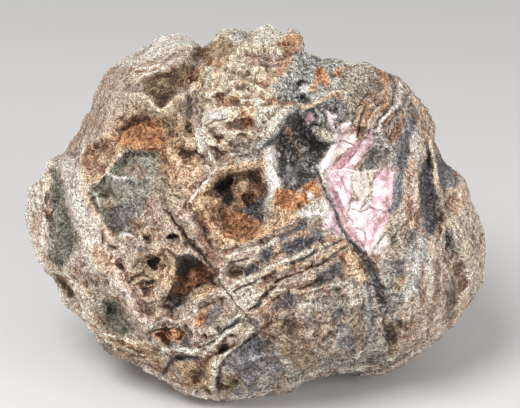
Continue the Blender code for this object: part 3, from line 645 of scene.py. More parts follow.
    ("slate", 2.5, 1, [(241, 208), (250, 206), (256, 201), (263, 199), (263, 212), (266, 225), (259, 221),
        (251, 218), (243, 214)]),
    # The grey top right with its orange spots.
    ("grey_grain", 5, 1, [(292, 56), (304, 46), (346, 52), (352, 66), (342, 92), (300, 102), (274, 97),
        (270, 84), (288, 72)]),
    ("orange", 2.5, 1, [(313, 69), (320, 66), (328, 71), (331, 80), (328, 88), (321, 83), (314, 90),
        (307, 88), (313, 82), (316, 76)]),
    ("orange", 2.5, 1, [(334, 72), (338, 67), (345, 66), (345, 73), (340, 78), (334, 76)]),
    ("jet", 2.5, 1, [(299, 79), (307, 78), (311, 82), (304, 85)]),
    ("jet", 2.5, 1, [(301, 94), (308, 96), (310, 101), (303, 102)]),
    ("chalk", 2.5, 0.9, [(300, 86), (308, 85), (308, 92), (301, 93)]),
    ("olive_cream", 5, 1, [(342, 66), (362, 58), (378, 70), (372, 90), (358, 100), (340, 92)]),
    ("olive_cream", 5, 0.6, [(340, 92), (362, 92), (364, 118), (352, 122), (346, 104)]),
    # The bands at the right of the top.
    ("banded", 6, 1, [(362, 100), (374, 66), (400, 70), (430, 104), (434, 130), (424, 150), (408, 140),
        (396, 166), (380, 134), (360, 140)]),
    ("cream", 5, 0.9, [(258, 100), (292, 104), (284, 114), (276, 128), (262, 138), (254, 124)]),
    # The black mass, with its pale knots, and the chalk beside it.
    ("black_oxide", 3, 1, [(290, 109), (310, 104), (334, 97), (346, 103), (351, 112), (347, 121),
        (336, 123), (334, 142), (331, 150), (322, 158), (320, 170), (318, 178), (305, 183), (296, 190),
        (280, 184), (276, 166), (275, 140), (286, 131)]),
    ("grey_grain", 4, 0.6, [(313, 105), (330, 99), (330, 112), (326, 126), (316, 122), (318, 114)]),
    ("mottled_grey", 4, 0.5, [(332, 106), (350, 106), (350, 118), (338, 122)]),
    ("mauve_spar", 1.5, 0.6, [(304, 113), (310, 110), (315, 117), (313, 123), (306, 124)]),
    ("rose_spar", 1.5, 0.8, [(328, 108), (332, 112), (334, 128), (330, 130), (327, 118)]),
    ("peach_spar", 1.5, 0.8, [(330, 112), (339, 114), (334, 120)]),
    ("olive_cream", 3, 1, [(312, 129), (320, 125), (332, 134), (331, 141), (322, 143), (313, 136)]),
    ("jet", 4, 0.9, [(298, 132), (314, 142), (332, 143), (330, 151), (314, 152), (302, 146)]),
    ("jet", 4, 0.7, [(284, 158), (304, 160), (310, 174), (292, 178)]),
    ("mottled_grey", 4, 0.6, [(299, 146), (316, 150), (314, 158), (302, 156)]),
    ("chalk", 6, 0.9, [(264, 152), (270, 144), (276, 152), (278, 186), (272, 196), (266, 200),
        (263, 176)]),
    # The rust below the black mass and the cream towards the pink window.
    ("rust", 3, 1, [(274, 186), (288, 187), (300, 191), (304, 181), (317, 177), (322, 188), (318, 197),
        (306, 204), (286, 210), (274, 202)]),
    ("chalk", 2.5, 0.9, [(307, 190), (314, 189), (315, 198), (308, 199)]),
    ("chalk", 4, 1, [(298, 210), (312, 200), (324, 198), (332, 208), (322, 214), (306, 220)]),
    ("rose_spar", 2, 0.9, [(322, 214), (333, 208), (338, 220), (341, 236), (332, 239), (322, 228)]),
    ("mottled_grey", 3, 0.8, [(326, 222), (334, 226), (334, 238), (328, 234)]),
    # The striped beds.
    ("tan_crust", 5, 1, [(222, 250), (262, 238), (300, 218), (340, 236), (362, 256), (340, 276),
        (312, 292), (290, 300), (250, 312), (230, 300)]),
    ("cream", 5, 0.7, [(228, 284), (262, 280), (262, 296), (246, 308), (232, 304)]),
    ("slate", 2, 1, [(273, 242), (284, 233), (296, 226), (303, 219), (309, 222), (308, 227), (296, 232),
        (282, 241)]),
    ("orange", 2.5, 0.4, [(290, 234), (300, 230), (310, 230), (306, 235), (292, 238)]),
    ("slate", 2, 1, [(279, 251), (284, 243), (296, 237), (308, 236), (320, 239), (310, 244), (306, 249),
        (290, 254)]),
    ("slate", 2, 0.9, [(310, 228), (320, 229), (326, 240), (312, 239)]),
    ("slate", 2, 0.9, [(259, 254), (266, 247), (273, 243), (274, 252), (268, 262), (261, 260)]),
    ("green_grey", 3, 1, [(286, 258), (296, 252), (303, 252), (298, 258), (288, 261)]),
    ("slate", 2, 1, [(245, 268), (252, 263), (261, 266), (256, 272), (246, 277)]),
    ("hollow_brown", 2.5, 1, [(229, 266), (239, 265), (242, 273), (234, 277)]),
    ("slate", 3, 0.9, [(313, 277), (320, 270), (332, 265), (345, 261), (347, 267), (338, 277), (330, 283),
        (320, 289)]),
    ("slate", 2.5, 1, [(265, 316), (272, 301), (278, 296), (286, 292), (298, 292), (306, 299), (303, 307),
        (290, 308), (281, 309), (272, 318)]),
    ("brown_fan", 4, 0.9, [(262, 320), (270, 309), (288, 306), (290, 314), (280, 324), (268, 328)]),
    ("dark_rust", 3, 0.8, [(260, 326), (270, 322), (272, 332), (264, 335)]),
    ("slate", 3, 0.8, [(250, 318), (258, 318), (262, 328), (256, 328)]),
    ("orange", 3, 0.8, [(338, 254), (350, 250), (350, 258), (340, 261)]),
    ("ochre", 4, 0.9, [(346, 252), (354, 250), (366, 272), (376, 306), (368, 306), (356, 282),
        (346, 268)]),
    # The grey dome below them.
    ("speckled", 8, 1, [(262, 336), (282, 316), (310, 296), (340, 278), (362, 282), (382, 316),
        (392, 362), (340, 384), (300, 388), (262, 398), (254, 360)]),
    ("brown_fan", 7, 0.9, [(270, 330), (286, 314), (302, 322), (310, 344), (324, 366), (306, 372),
        (280, 352)]),
    ("blue_grey", 6, 0.7, [(240, 342), (262, 332), (280, 348), (284, 372), (258, 378), (242, 362)]),
    ("slate", 2, 0.8, [(308, 283), (322, 281), (330, 286), (320, 291), (310, 290)]),
    ("slate", 2, 0.7, [(312, 299), (326, 294), (342, 296), (336, 303), (320, 306)]),
    ("slate", 2, 0.7, [(330, 310), (342, 306), (350, 312), (340, 320), (332, 318)]),
    ("slate", 3, 0.5, [(300, 318), (314, 314), (322, 324), (308, 330)]),
    ("blue_grey", 4, 0.7, [(340, 322), (356, 330), (352, 350), (336, 346)]),
    ("slate", 3, 0.6, [(318, 358), (336, 354), (344, 362), (326, 368)]),
    ("earth", 4, 0.7, [(284, 322), (294, 318), (300, 332), (294, 344), (286, 336)]),
    ("mottled_grey", 6, 0.6, [(300, 302), (330, 296), (334, 312), (306, 316)]),
    ("brown_fan", 6, 0.6, [(346, 308), (362, 312), (370, 334), (360, 344), (346, 330)]),
    ("blue_grey", 4, 0.6, [(362, 280), (370, 284), (378, 320), (376, 350), (368, 340), (366, 306)]),
    # The pink window.
    ("peach_spar", 2, 1, [(333, 130), (342, 123), (351, 120), (356, 128), (357, 138), (354, 144),
        (345, 152), (335, 157), (328, 153), (333, 142)]),
    ("mottled_grey", 2, 0.5, [(335, 129), (341, 128), (341, 136), (335, 137)]),
    ("peach_spar", 2, 1, [(320, 164), (328, 153), (338, 154), (334, 164), (330, 171), (321, 172)]),
    ("lilac_spar", 1.5, 1, [(341, 170), (350, 160), (358, 148), (364, 138), (372, 128), (376, 130),
        (373, 140), (367, 149), (362, 158), (355, 165), (352, 171)]),
    ("mauve_spar", 1.5, 1, [(330, 170), (336, 162), (345, 153), (352, 146), (357, 140), (362, 138),
        (360, 146), (354, 153), (349, 160), (343, 167), (336, 171)]),
    ("mottled_grey", 2.5, 1, [(373, 131), (384, 136), (394, 148), (398, 162), (396, 172), (384, 166),
        (374, 172), (358, 171), (364, 158), (369, 149), (374, 140)]),
    ("earth", 3, 0.7, [(364, 158), (372, 150), (379, 145), (380, 152), (374, 162), (366, 168)]),
    ("white_spar", 3, 0.7, [(380, 158), (388, 152), (392, 164), (384, 168), (378, 170)]),
    ("rose_spar", 2, 1, [(326, 172), (336, 169), (351, 171), (351, 196), (345, 207), (338, 213),
        (331, 200), (328, 188)]),
    ("lilac_spar", 2, 0.8, [(334, 172), (342, 176), (350, 192), (344, 208), (338, 196)]),
    ("cream", 2, 0.8, [(320, 170), (327, 170), (329, 186), (331, 198), (326, 190)]),
    ("white_spar", 3, 0.9, [(351, 171), (371, 171), (371, 192), (362, 200), (353, 192)]),
    ("rose_spar", 2, 1, [(373, 181), (380, 171), (388, 164), (393, 172), (394, 188), (391, 201),
        (373, 202)]),
    ("pink_spar", 2, 1, [(338, 211), (351, 201), (372, 198), (394, 200), (391, 214), (380, 236),
        (372, 250), (362, 250), (352, 238), (343, 226)]),
    ("rose_spar", 5, 0.35, [(372, 202), (390, 202), (384, 222), (366, 244), (360, 232), (372, 216)]),
    ("white_spar", 1.5, 1, [(373, 247), (380, 238), (387, 230), (389, 242), (382, 252), (372, 253)]),
    # The beds at the right of the window.
    ("blue_grey", 3, 1, [(412, 108), (417, 108), (421, 113), (420, 123), (412, 132), (409, 150),
        (408, 168), (404, 181), (401, 198), (398, 209), (389, 212), (393, 196), (396, 174), (398, 160),
        (396, 148), (398, 140), (404, 129), (409, 119)]),
    ("far_lobe", 4, 1, [(408, 136), (424, 126), (430, 146), (422, 168), (408, 168)]),
    ("far_lobe", 4, 0.8, [(421, 106), (428, 112), (434, 128), (428, 132), (421, 128)]),
    ("chalk", 3, 0.7, [(408, 144), (418, 136), (422, 152), (416, 166), (412, 156)]),
    ("brown_streak", 4, 1, [(403, 168), (420, 168), (419, 200), (421, 232), (410, 246), (396, 232),
        (401, 204)]),
    ("olive_cream", 5, 0.7, [(388, 214), (400, 210), (404, 230), (404, 254), (392, 254), (386, 232)]),
    ("slate", 2.5, 1, [(422, 167), (427, 166), (427, 142), (430, 142), (432, 166), (435, 181), (441, 200),
        (442, 212), (439, 225), (432, 237), (425, 235), (420, 215), (419, 194)]),
    ("blue_grey", 3, 0.8, [(432, 142), (442, 160), (456, 170), (458, 184), (446, 194), (438, 182),
        (434, 160)]),
    ("far_lobe", 6, 1, [(444, 196), (462, 178), (474, 204), (492, 240), (496, 262), (492, 282),
        (468, 308), (454, 322), (458, 290), (452, 262), (442, 240)]),
    ("peach_crust", 5, 0.7, [(446, 188), (462, 182), (470, 204), (456, 216), (448, 206)]),
    ("mottled_grey", 4, 0.7, [(440, 238), (446, 228), (462, 228), (466, 244), (456, 256), (446, 252)]),
    ("slate", 2.5, 0.9, [(410, 230), (415, 228), (415, 248), (408, 262), (406, 246)]),
    ("slate", 2.5, 1, [(392, 256), (400, 261), (407, 257), (407, 270), (402, 276), (394, 272)]),
    ("pale_streak", 5, 1, [(409, 246), (418, 234), (430, 238), (432, 260), (424, 290), (410, 320),
        (402, 300), (408, 270)]),
    ("brown_streak", 6, 1, [(430, 240), (446, 250), (449, 290), (444, 326), (420, 352), (402, 354),
        (412, 322), (424, 292), (432, 262)]),
    ("dark_rust", 6, 0.4, [(424, 300), (440, 286), (444, 310), (430, 324)]),
    ("dark_rust", 2, 0.6, [(421, 262), (425, 262), (427, 290), (422, 310), (419, 308)]),
    ("dark_rust", 2, 0.5, [(436, 262), (440, 266), (440, 292), (436, 300)]),
    ("white_skin", 2, 0.6, [(429, 256), (433, 258), (434, 290), (428, 312), (426, 300)]),
    ("brown_fan", 2, 0.7, [(412, 290), (416, 288), (412, 330), (408, 336)]),
    ("slate", 3, 0.6, [(451, 276), (456, 282), (457, 302), (453, 322), (447, 318), (449, 296)]),
    ("mottled_grey", 5, 0.9, [(380, 258), (392, 256), (400, 280), (404, 310), (396, 330), (390, 312),
        (384, 284)]),
    ("black_oxide", 3, 1, [(362, 254), (372, 258), (378, 274), (386, 294), (390, 318), (384, 318),
        (376, 296), (368, 276)]),
    ("jet", 3, 0.7, [(364, 256), (378, 266), (380, 276), (370, 272)]),
    ("brown_fan", 4, 0.9, [(386, 322), (396, 322), (402, 340), (396, 352), (388, 348)]),
    ("hollow_brown", 2.5, 1, [(396, 281), (400, 283), (401, 291), (397, 290)]),
    ("earth", 2.5, 0.9, [(399, 322), (405, 320), (405, 328), (400, 328)]),
]

# Lines: mineral, half width in steps, rise in millimetres, strength, and the line. The colour ends over
# LINE_EDGE, as shares of the half width, and the rise is LINE_RISE_WIDTH times as wide.
LINES = [
    ("white_skin", 1.2, 0.2, 0.9, [(128, 64), (138, 68), (148, 69), (158, 65), (166, 58), (176, 50)]),
    ("brown_crust", 1.2, -0.2, 0.8, [(130, 67), (142, 72), (154, 70), (164, 63), (174, 55)]),
    ("white_skin", 1.2, 0.2, 0.8, [(142, 75), (156, 72), (166, 67), (174, 60), (182, 57)]),
    ("brown_crust", 1.2, -0.2, 0.6, [(122, 58), (140, 57), (152, 62)]),
    ("peach_crust", 1.6, 0.4, 0.8, [(130, 93), (142, 94), (150, 100), (158, 108), (161, 109)]),
    ("peach_crust", 1.8, 0.5, 0.9, [(162, 110), (171, 102), (179, 96), (190, 92), (200, 94)]),
    ("peach_crust", 3.0, 0.4, 0.9, [(83, 158), (84, 178), (89, 200), (97, 214), (106, 228), (110, 240)]),
    ("peach_crust", 1.5, 0.5, 0.9, [(84, 184), (98, 181), (106, 172), (113, 163), (121, 152)]),
    ("chalk", 1.2, 0.3, 0.9, [(107, 171), (114, 177), (126, 177), (139, 180)]),
    ("chalk", 1.2, 0.3, 0.8, [(87, 187), (96, 194), (100, 205)]),
    ("hollow_brown", 1.3, -0.4, 0.8, [(123, 146), (133, 157), (142, 170)]),
    ("cream", 4.5, 2.6, 0.8, [(192, 90), (197, 100), (197, 114), (199, 130), (203, 144), (209, 158)]),
    ("chalk", 1.3, 0.4, 0.9, [(200, 124), (204, 138), (208, 152)]),
    ("cream", 1.5, 0.4, 0.8, [(216, 58), (210, 72), (205, 88)]),
    ("cream", 1.5, 0.4, 0.8, [(206, 96), (216, 90), (226, 84), (234, 80)]),
    ("cream", 1.5, 0.4, 0.8, [(222, 112), (234, 106), (244, 100), (262, 98)]),
    ("dark_rust", 1.3, -0.4, 0.8, [(244, 53), (260, 57), (276, 60), (298, 52)]),
    ("dark_rust", 1.2, -0.4, 0.7, [(250, 62), (266, 66), (284, 64)]),
    ("dark_rust", 1.5, -0.5, 0.8, [(206, 124), (216, 120), (226, 118)]),
    ("ochre", 4.0, 0.6, 0.8, [(196, 206), (204, 190), (216, 179), (232, 169), (250, 163)]),
    ("chalk", 1.6, 0.3, 0.8, [(192, 200), (198, 192), (206, 182), (216, 174)]),
    ("earth", 1.0, -0.5, 0.8, [(163, 178), (169, 184), (173, 192), (180, 197)]),
    ("earth", 1.2, -0.6, 0.9, [(163, 208), (171, 214), (175, 222), (183, 228), (187, 237)]),
    ("jet", 1.0, -0.6, 0.9, [(188, 241), (195, 247), (203, 253), (209, 262), (217, 267)]),
    ("earth", 1.2, -0.5, 0.7, [(197, 218), (204, 228), (207, 240), (213, 248)]),
    ("earth", 1.0, -0.5, 0.8, [(216, 268), (222, 284), (232, 296), (245, 315), (260, 334)]),
    ("earth", 1.6, -0.6, 0.8, [(148, 257), (153, 256), (158, 260)]),
    ("earth", 3.5, -0.9, 0.9, [(151, 262), (155, 266)]),
    ("earth", 1.5, -0.6, 0.9, [(130, 280), (134, 275), (141, 273), (149, 275), (154, 281)]),
    ("earth", 1.3, -0.5, 0.8, [(136, 284), (142, 280), (149, 282)]),
    ("ochre", 1.3, 0.4, 0.8, [(132, 284), (137, 278), (144, 276), (151, 279)]),
    ("ochre", 1.5, 0.4, 0.8, [(142, 285), (154, 284), (156, 296), (150, 300), (142, 298), (141, 288)]),
    ("earth", 2.5, -0.8, 0.9, [(121, 265), (124, 269)]),
    ("jet", 2.2, -0.8, 1.0, [(168, 237), (174, 235), (178, 237)]),
    ("dark_rust", 2.5, -0.6, 0.9, [(145, 236), (149, 236)]),
    ("slate", 1.8, -0.4, 0.8, [(134, 246), (141, 250), (148, 252)]),
    ("chalk", 2.0, 0.3, 0.9, [(121, 233), (132, 235)]),
    ("hollow_brown", 1.8, -0.6, 0.8, [(102, 233), (104, 242)]),
    ("hollow_brown", 2.2, -0.6, 0.8, [(111, 245), (115, 247)]),
    ("hollow_brown", 1.3, -0.4, 0.7, [(34, 190), (36, 208), (33, 230)]),
    ("hollow_brown", 1.2, -0.4, 0.7, [(38, 207), (48, 212)]),
    ("hollow_brown", 1.2, -0.4, 0.6, [(42, 180), (41, 200), (43, 220)]),
    # The grey rim of the black mass, and the dark crack at the pink window's left.
    # The blue-grey line under the rim is painted shadow.
    ("blue_grey", 2.6, -0.5, 0.8, [(262, 146), (274, 139), (284, 127), (292, 114)]),
    ("mottled_grey", 2.4, 0.5, 1.0, [(255, 146), (262, 141), (272, 135), (279, 127), (286, 116),
        (292, 108), (300, 105)]),
    ("peach_crust", 1.8, 0.5, 0.9, [(300, 105), (312, 104), (322, 99), (332, 93), (342, 92)]),
    ("orange", 1.0, 0.3, 0.6, [(286, 124), (290, 132), (292, 140), (297, 147), (300, 155)]),
    ("orange", 2.4, 0.3, 0.8, [(288, 128), (291, 134)]),
    ("mottled_grey", 1.2, 0.3, 0.9, [(281, 146), (288, 156), (290, 168), (288, 180)]),
    ("mottled_grey", 1.0, 0.3, 0.8, [(300, 160), (306, 168), (316, 172)]),
    ("jet", 1.6, -0.4, 0.9, [(280, 140), (284, 150), (282, 162), (286, 174)]),
    ("jet", 1.4, -0.4, 0.9, [(296, 112), (302, 120), (300, 132), (306, 140)]),
    ("jet", 1.4, -0.4, 0.9, [(320, 106), (326, 116), (324, 126)]),
    ("chalk", 1.0, 0.3, 0.8, [(316, 108), (320, 114), (318, 122)]),
    ("blue_grey", 1.8, -0.4, 1.0, [(320, 171), (323, 182), (328, 195), (333, 206), (337, 215), (341, 226),
        (348, 236), (356, 246), (366, 255)]),
    ("slate", 1.3, -0.5, 0.9, [(320, 174), (324, 186), (330, 199)]),
    ("slate", 1.3, -0.5, 0.9, [(350, 240), (358, 249), (370, 258)]),
    ("peach_spar", 1.3, 0.2, 0.9, [(322, 171), (344, 170), (364, 171), (380, 170)]),
    ("mauve_spar", 1.0, -0.2, 0.7, [(345, 157), (352, 150), (360, 142)]),
    ("lobe_crust", 1.4, -0.3, 0.9, [(369, 172), (371, 186), (369, 198), (362, 206)]),
    ("brown_crust", 1.0, -0.2, 0.6, [(350, 204), (347, 212), (353, 222)]),
    ("rose_spar", 1.3, 0.1, 0.8, [(366, 204), (376, 214), (372, 228), (364, 238)]),
    ("mottled_grey", 1.0, -0.2, 0.8, [(374, 248), (380, 239), (387, 231)]),
    ("lobe_crust", 1.0, -0.2, 0.7, [(352, 206), (362, 210), (372, 206), (384, 212)]),
    ("rust", 1.0, -0.2, 0.5, [(356, 226), (366, 232), (364, 244)]),
    ("pink_spar", 1.4, 0.2, 0.8, [(330, 176), (338, 188), (344, 204)]),
    ("mauve_spar", 1.2, -0.2, 0.6, [(338, 173), (345, 186), (349, 200)]),
    ("rose_spar", 1.2, 0.2, 0.8, [(350, 212), (356, 224), (352, 234)]),
    ("mottled_grey", 0.9, -0.2, 0.6, [(333, 143), (343, 140), (354, 144)]),
    ("rose_spar", 1.6, 0.2, 0.7, [(334, 148), (342, 132), (350, 124)]),
    # The bands of the top right, from the window outwards.
    ("earth", 1.6, -0.5, 0.9, [(358, 136), (360, 122), (365, 110), (367, 102)]),
    ("orange", 1.7, 0.4, 0.9, [(361, 137), (364, 124), (370, 113)]),
    ("slate", 1.5, -0.4, 0.8, [(366, 128), (371, 118), (374, 108), (382, 100)]),
    ("orange", 2.0, 0.4, 0.9, [(371, 120), (378, 110), (387, 102)]),
    ("ochre", 1.5, 0.4, 0.8, [(372, 106), (380, 98), (386, 88), (382, 76)]),
    ("rust", 1.6, 0.3, 0.9, [(384, 100), (388, 90), (385, 78), (382, 72)]),
    ("slate", 1.7, -0.4, 0.9, [(376, 128), (382, 116), (390, 106), (394, 94), (393, 82), (388, 74)]),
    ("chalk", 2.2, 0.4, 0.9, [(379, 131), (385, 119), (396, 106), (401, 94), (398, 82)]),
    ("dark_rust", 2.2, -0.3, 0.9, [(384, 124), (391, 116), (397, 110)]),
    ("mottled_grey", 1.7, 0.3, 0.9, [(386, 136), (394, 124), (402, 114), (406, 100)]),
    ("rust", 1.5, -0.3, 0.8, [(389, 142), (397, 128), (404, 117)]),
    ("slate", 1.7, -0.4, 0.9, [(404, 124), (408, 112), (411, 98)]),
    ("peach_crust", 2.2, 0.4, 0.9, [(412, 98), (422, 111), (430, 124), (431, 136)]),
    ("orange", 1.5, 0.3, 0.7, [(414, 112), (424, 124), (428, 138)]),
    ("orange", 1.6, 0.3, 0.8, [(414, 146), (412, 160), (414, 176)]),
    ("peach_crust", 1.7, 0.6, 1.0, [(430, 130), (432, 150), (436, 178), (440, 196), (444, 212)]),
    ("dark_rust", 1.5, -0.4, 0.8, [(441, 214), (441, 230), (438, 244)]),
    ("rust", 1.6, 0.2, 0.8, [(404, 192), (410, 204), (412, 220)]),
    ("slate", 1.4, -0.3, 0.7, [(446, 246), (452, 236), (452, 228)]),
    ("earth", 1.1, -0.4, 0.9, [(352, 126), (356, 112), (362, 100), (368, 92)]),
    ("ochre", 1.4, 0.3, 0.8, [(354, 132), (359, 118), (365, 105), (374, 94)]),
    ("cream", 1.3, 0.3, 0.8, [(366, 136), (368, 126), (374, 113), (380, 105)]),
    ("slate", 1.2, -0.4, 0.8, [(386, 128), (394, 118), (403, 106), (408, 92)]),
    ("cream", 1.3, 0.3, 0.8, [(400, 124), (406, 112), (409, 98)]),
    ("orange", 1.3, 0.3, 0.8, [(392, 134), (400, 122), (406, 110)]),
    ("chalk", 1.2, 0.3, 0.8, [(410, 140), (414, 132), (420, 136), (416, 146), (410, 150)]),
    ("chalk", 1.0, 0.3, 0.8, [(412, 156), (418, 160), (414, 168)]),
    # The striped beds: dark seams between the pale ones.
    ("cream", 2.0, 0.5, 0.8, [(226, 256), (244, 250), (262, 246), (280, 238)]),
    ("jet", 1.7, -0.7, 1.0, [(290, 263), (300, 259), (309, 255), (316, 249)]),
    ("earth", 1.4, -0.5, 0.9, [(314, 249), (326, 247), (340, 240)]),
    ("cream", 1.8, 0.4, 0.8, [(264, 268), (282, 262), (304, 252), (330, 244)]),
    ("earth", 1.4, -0.6, 0.9, [(314, 265), (324, 262), (334, 255), (345, 247)]),
    ("dark_rust", 1.7, -0.7, 1.0, [(276, 281), (288, 275), (303, 272), (311, 265)]),
    ("ochre", 1.7, 0.4, 0.8, [(262, 274), (284, 268), (306, 262), (330, 252), (346, 243)]),
    ("jet", 1.8, -0.7, 1.0, [(235, 291), (245, 286), (256, 283)]),
    ("earth", 1.4, -0.5, 0.9, [(256, 281), (268, 276), (276, 270)]),
    ("cream", 2.0, 0.5, 0.8, [(232, 284), (248, 278), (266, 270)]),
    ("jet", 1.9, -0.8, 1.0, [(249, 309), (256, 306), (262, 298), (268, 291), (277, 286)]),
    ("dark_rust", 1.3, -0.4, 0.8, [(276, 292), (290, 288), (306, 286), (316, 280)]),
    ("cream", 2.0, 0.4, 0.8, [(262, 304), (272, 294), (286, 288)]),
    ("jet", 1.4, -0.5, 0.9, [(230, 261), (238, 261), (248, 258)]),
    ("slate", 1.5, -0.4, 0.9, [(322, 292), (334, 291)]),
    ("slate", 1.5, -0.4, 0.9, [(312, 303), (318, 297)]),
    ("cream", 1.5, 0.4, 0.7, [(292, 292), (308, 290), (324, 286), (340, 284)]),
    # The zigzag ridges and seams low at the left of the middle.
    ("cream", 2.2, 0.6, 0.8, [(150, 326), (164, 319), (180, 321), (190, 318), (196, 308)]),
    ("earth", 1.5, -0.6, 0.9, [(148, 333), (160, 328), (175, 327), (184, 333)]),
    ("slate", 1.7, -0.5, 0.9, [(186, 325), (190, 335)]),
    ("cream", 2.4, 0.7, 0.9, [(161, 352), (172, 348), (194, 352), (201, 345), (214, 335), (226, 325),
        (240, 316)]),
    ("slate", 2.4, -0.8, 1.0, [(163, 373), (168, 365), (173, 358), (182, 357), (196, 358)]),
    ("slate", 1.9, -0.7, 1.0, [(219, 332), (229, 325), (239, 319)]),
    ("earth", 1.6, -0.6, 0.9, [(199, 346), (212, 340)]),
    ("cream", 1.9, 0.5, 0.8, [(204, 356), (216, 340), (232, 330), (248, 318)]),
    ("slate", 2.2, -0.8, 1.0, [(223, 363), (232, 352), (245, 342), (257, 334)]),
    ("cream", 1.9, 0.5, 0.8, [(216, 366), (226, 354), (240, 342), (254, 328)]),
    ("jet", 1.2, -0.5, 0.8, [(200, 308), (208, 304), (216, 301)]),
    ("earth", 1.8, -0.5, 0.9, [(230, 335), (236, 335)]),
    ("cream", 1.7, 0.6, 0.9, [(216, 366), (213, 378), (212, 391)]),
    ("slate", 2.0, -0.7, 0.9, [(220, 366), (218, 380), (219, 392)]),
    ("peach_crust", 1.5, 0.4, 0.9, [(231, 372), (240, 381), (249, 393)]),
    ("earth", 1.3, -0.4, 0.8, [(107, 338), (124, 345), (142, 352)]),
    ("earth", 1.3, -0.4, 0.8, [(118, 349), (130, 354), (144, 357)]),
    ("cream", 1.3, 0.4, 0.8, [(106, 341), (124, 349), (142, 354)]),
    ("lobe_crust", 1.5, 0.4, 0.8, [(104, 334), (130, 340), (152, 344)]),
    ("ridge_crust", 2.5, 0.5, 0.9, [(146, 368), (165, 380), (186, 391), (210, 397), (240, 398),
        (262, 394)]),
    ("pale_streak", 1.0, 0.2, 0.35, [(282, 334), (300, 346), (324, 352), (346, 346)]),
    ("brown_fan", 1.6, -0.3, 0.8, [(284, 338), (302, 350), (326, 356), (350, 351), (366, 337)]),
    ("slate", 1.2, -0.3, 0.7, [(302, 314), (314, 322), (330, 322), (342, 312)]),
    ("slate", 1.4, -0.3, 0.7, [(290, 330), (300, 338), (316, 340)]),
    ("chalk", 1.2, 0.3, 0.8, [(300, 306), (309, 303)]),
    ("peach_crust", 1.2, 0.3, 0.6, [(352, 262), (358, 282), (362, 304)]),
    ("blue_grey", 1.6, -0.2, 0.8, [(366, 282), (371, 302), (372, 324), (366, 344)]),
    ("pale_streak", 1.2, 0.2, 0.5, [(358, 272), (365, 292), (368, 308)]),
    # The edge of the grey dome.
    ("ridge_crust", 2.5, 0.4, 0.8, [(262, 395), (300, 383), (350, 376), (392, 366), (420, 350),
        (448, 326)]),
    ("slate", 1.4, -0.3, 0.8, [(352, 374), (380, 370), (398, 362), (410, 352)]),
    ("cream", 1.4, 0.3, 0.8, [(340, 370), (372, 366), (394, 358), (408, 346)]),
    ("slate", 1.3, -0.3, 0.7, [(336, 366), (366, 362), (388, 352)]),
    ("slate", 1.4, -0.3, 0.7, [(400, 352), (416, 344), (424, 338)]),
    ("mottled_grey", 1.6, 0.3, 0.8, [(372, 292), (380, 320), (384, 350)]),
    ("brown_fan", 1.6, -0.4, 0.9, [(384, 316), (388, 336), (390, 354)]),
    ("peach_crust", 1.6, 0.3, 0.7, [(406, 300), (404, 324), (400, 346)]),
]
LINE_EDGE = (1.3, 0.5)
LINE_RISE_WIDTH = 1.3

# The sides and the back: mineral, size of its patches in metres, and the noise levels where it starts and
# is whole. A noise HIDDEN_FINER times finer, HIDDEN_RAGGED as strong, makes their edges ragged.
HIDDEN_ZONES = [
    ("pale_skin", 0.050, -0.1, 0.2),
    ("banded", 0.060, 0.1, 0.3),
    ("brown_crust", 0.030, 0.2, 0.4),
    ("green_grey", 0.035, 0.2, 0.3),
    ("speckled", 0.045, 0.15, 0.3),
    ("slate", 0.040, 0.35, 0.42),
    ("rust", 0.025, 0.35, 0.5),
]
HIDDEN_FINER = 5
HIDDEN_RAGGED = 0.3

# How ragged the edges are: the size of the bends in metres, and steps sideways. Lines, and the patches
# whose edge is no softer than CRISP_EDGE, wander less, and what goes round the rim wanders more.
EDGE_WANDER = [(0.012, 3.0), (0.005, 2.6), (0.002, 1.8)]
CRISP_EDGE = 2
CRISP_WANDER = 0.4
LINE_WANDER = 0.5
RIM_WANDER = 2

# The nearness to the front over which places go over to those of the rim, and the sketch to the hidden
# zones, with the size and strength of the noise that moves that border.
PAST_RIM = (0.05, -0.15)
PAST_FRONT = (-0.10, -0.45)
PAST_FRONT_UNEVEN = (0.030, 0.25)
MINERAL_SEEDS = {"edges across": 70, "edges down": 80, "past front": 90, "zones": 100, "finer zones": 120}


def linear(colour):
    """Linear light from display levels of 0 to 255, by the power 2.2."""
    return (np.array(colour) / 255) ** 2.2


def mineral_row(name):
    """A mineral as one row: the linear colours of its ground and its stains, then its seven measures."""
    colour, stain, *measures = MINERALS[name]
    return np.concatenate([linear(colour), linear(stain), measures])


def edge_bends(points):
    """How far an edge bends at each point, in steps across and down: noise in three sizes, added up."""
    across = sum(
        steps * rough(points, size, MINERAL_SEEDS["edges across"] + number)
        for number, (size, steps) in enumerate(EDGE_WANDER)
    )
    down = sum(
        steps * rough(points, size, MINERAL_SEEDS["edges down"] + number)
        for number, (size, steps) in enumerate(EDGE_WANDER)
    )
    return across, down


def round_the_rim(x, y, behind):
    """The sketch places, each carried out to the rim by how far behind the rim it is, from 0 to 1."""
    across, down = x - SKETCH_CENTRE[0], y - SKETCH_CENTRE[1]
    _, rim = rim_radius(np.arctan2(-down, across))
    grow = 1 + behind * (rim / STEP / np.maximum(np.hypot(across, down), 1) - 1)
    return SKETCH_CENTRE[0] + across * grow, SKETCH_CENTRE[1] + down * grow


def near_shape(x, y, corners, margin):
    """Which places are in the box round a shape's corners, or within a margin of it."""
    low, high = np.min(corners, 0) - margin, np.max(corners, 0) + margin
    return (x > low[0]) & (x < high[0]) & (y > low[1]) & (y < high[1])


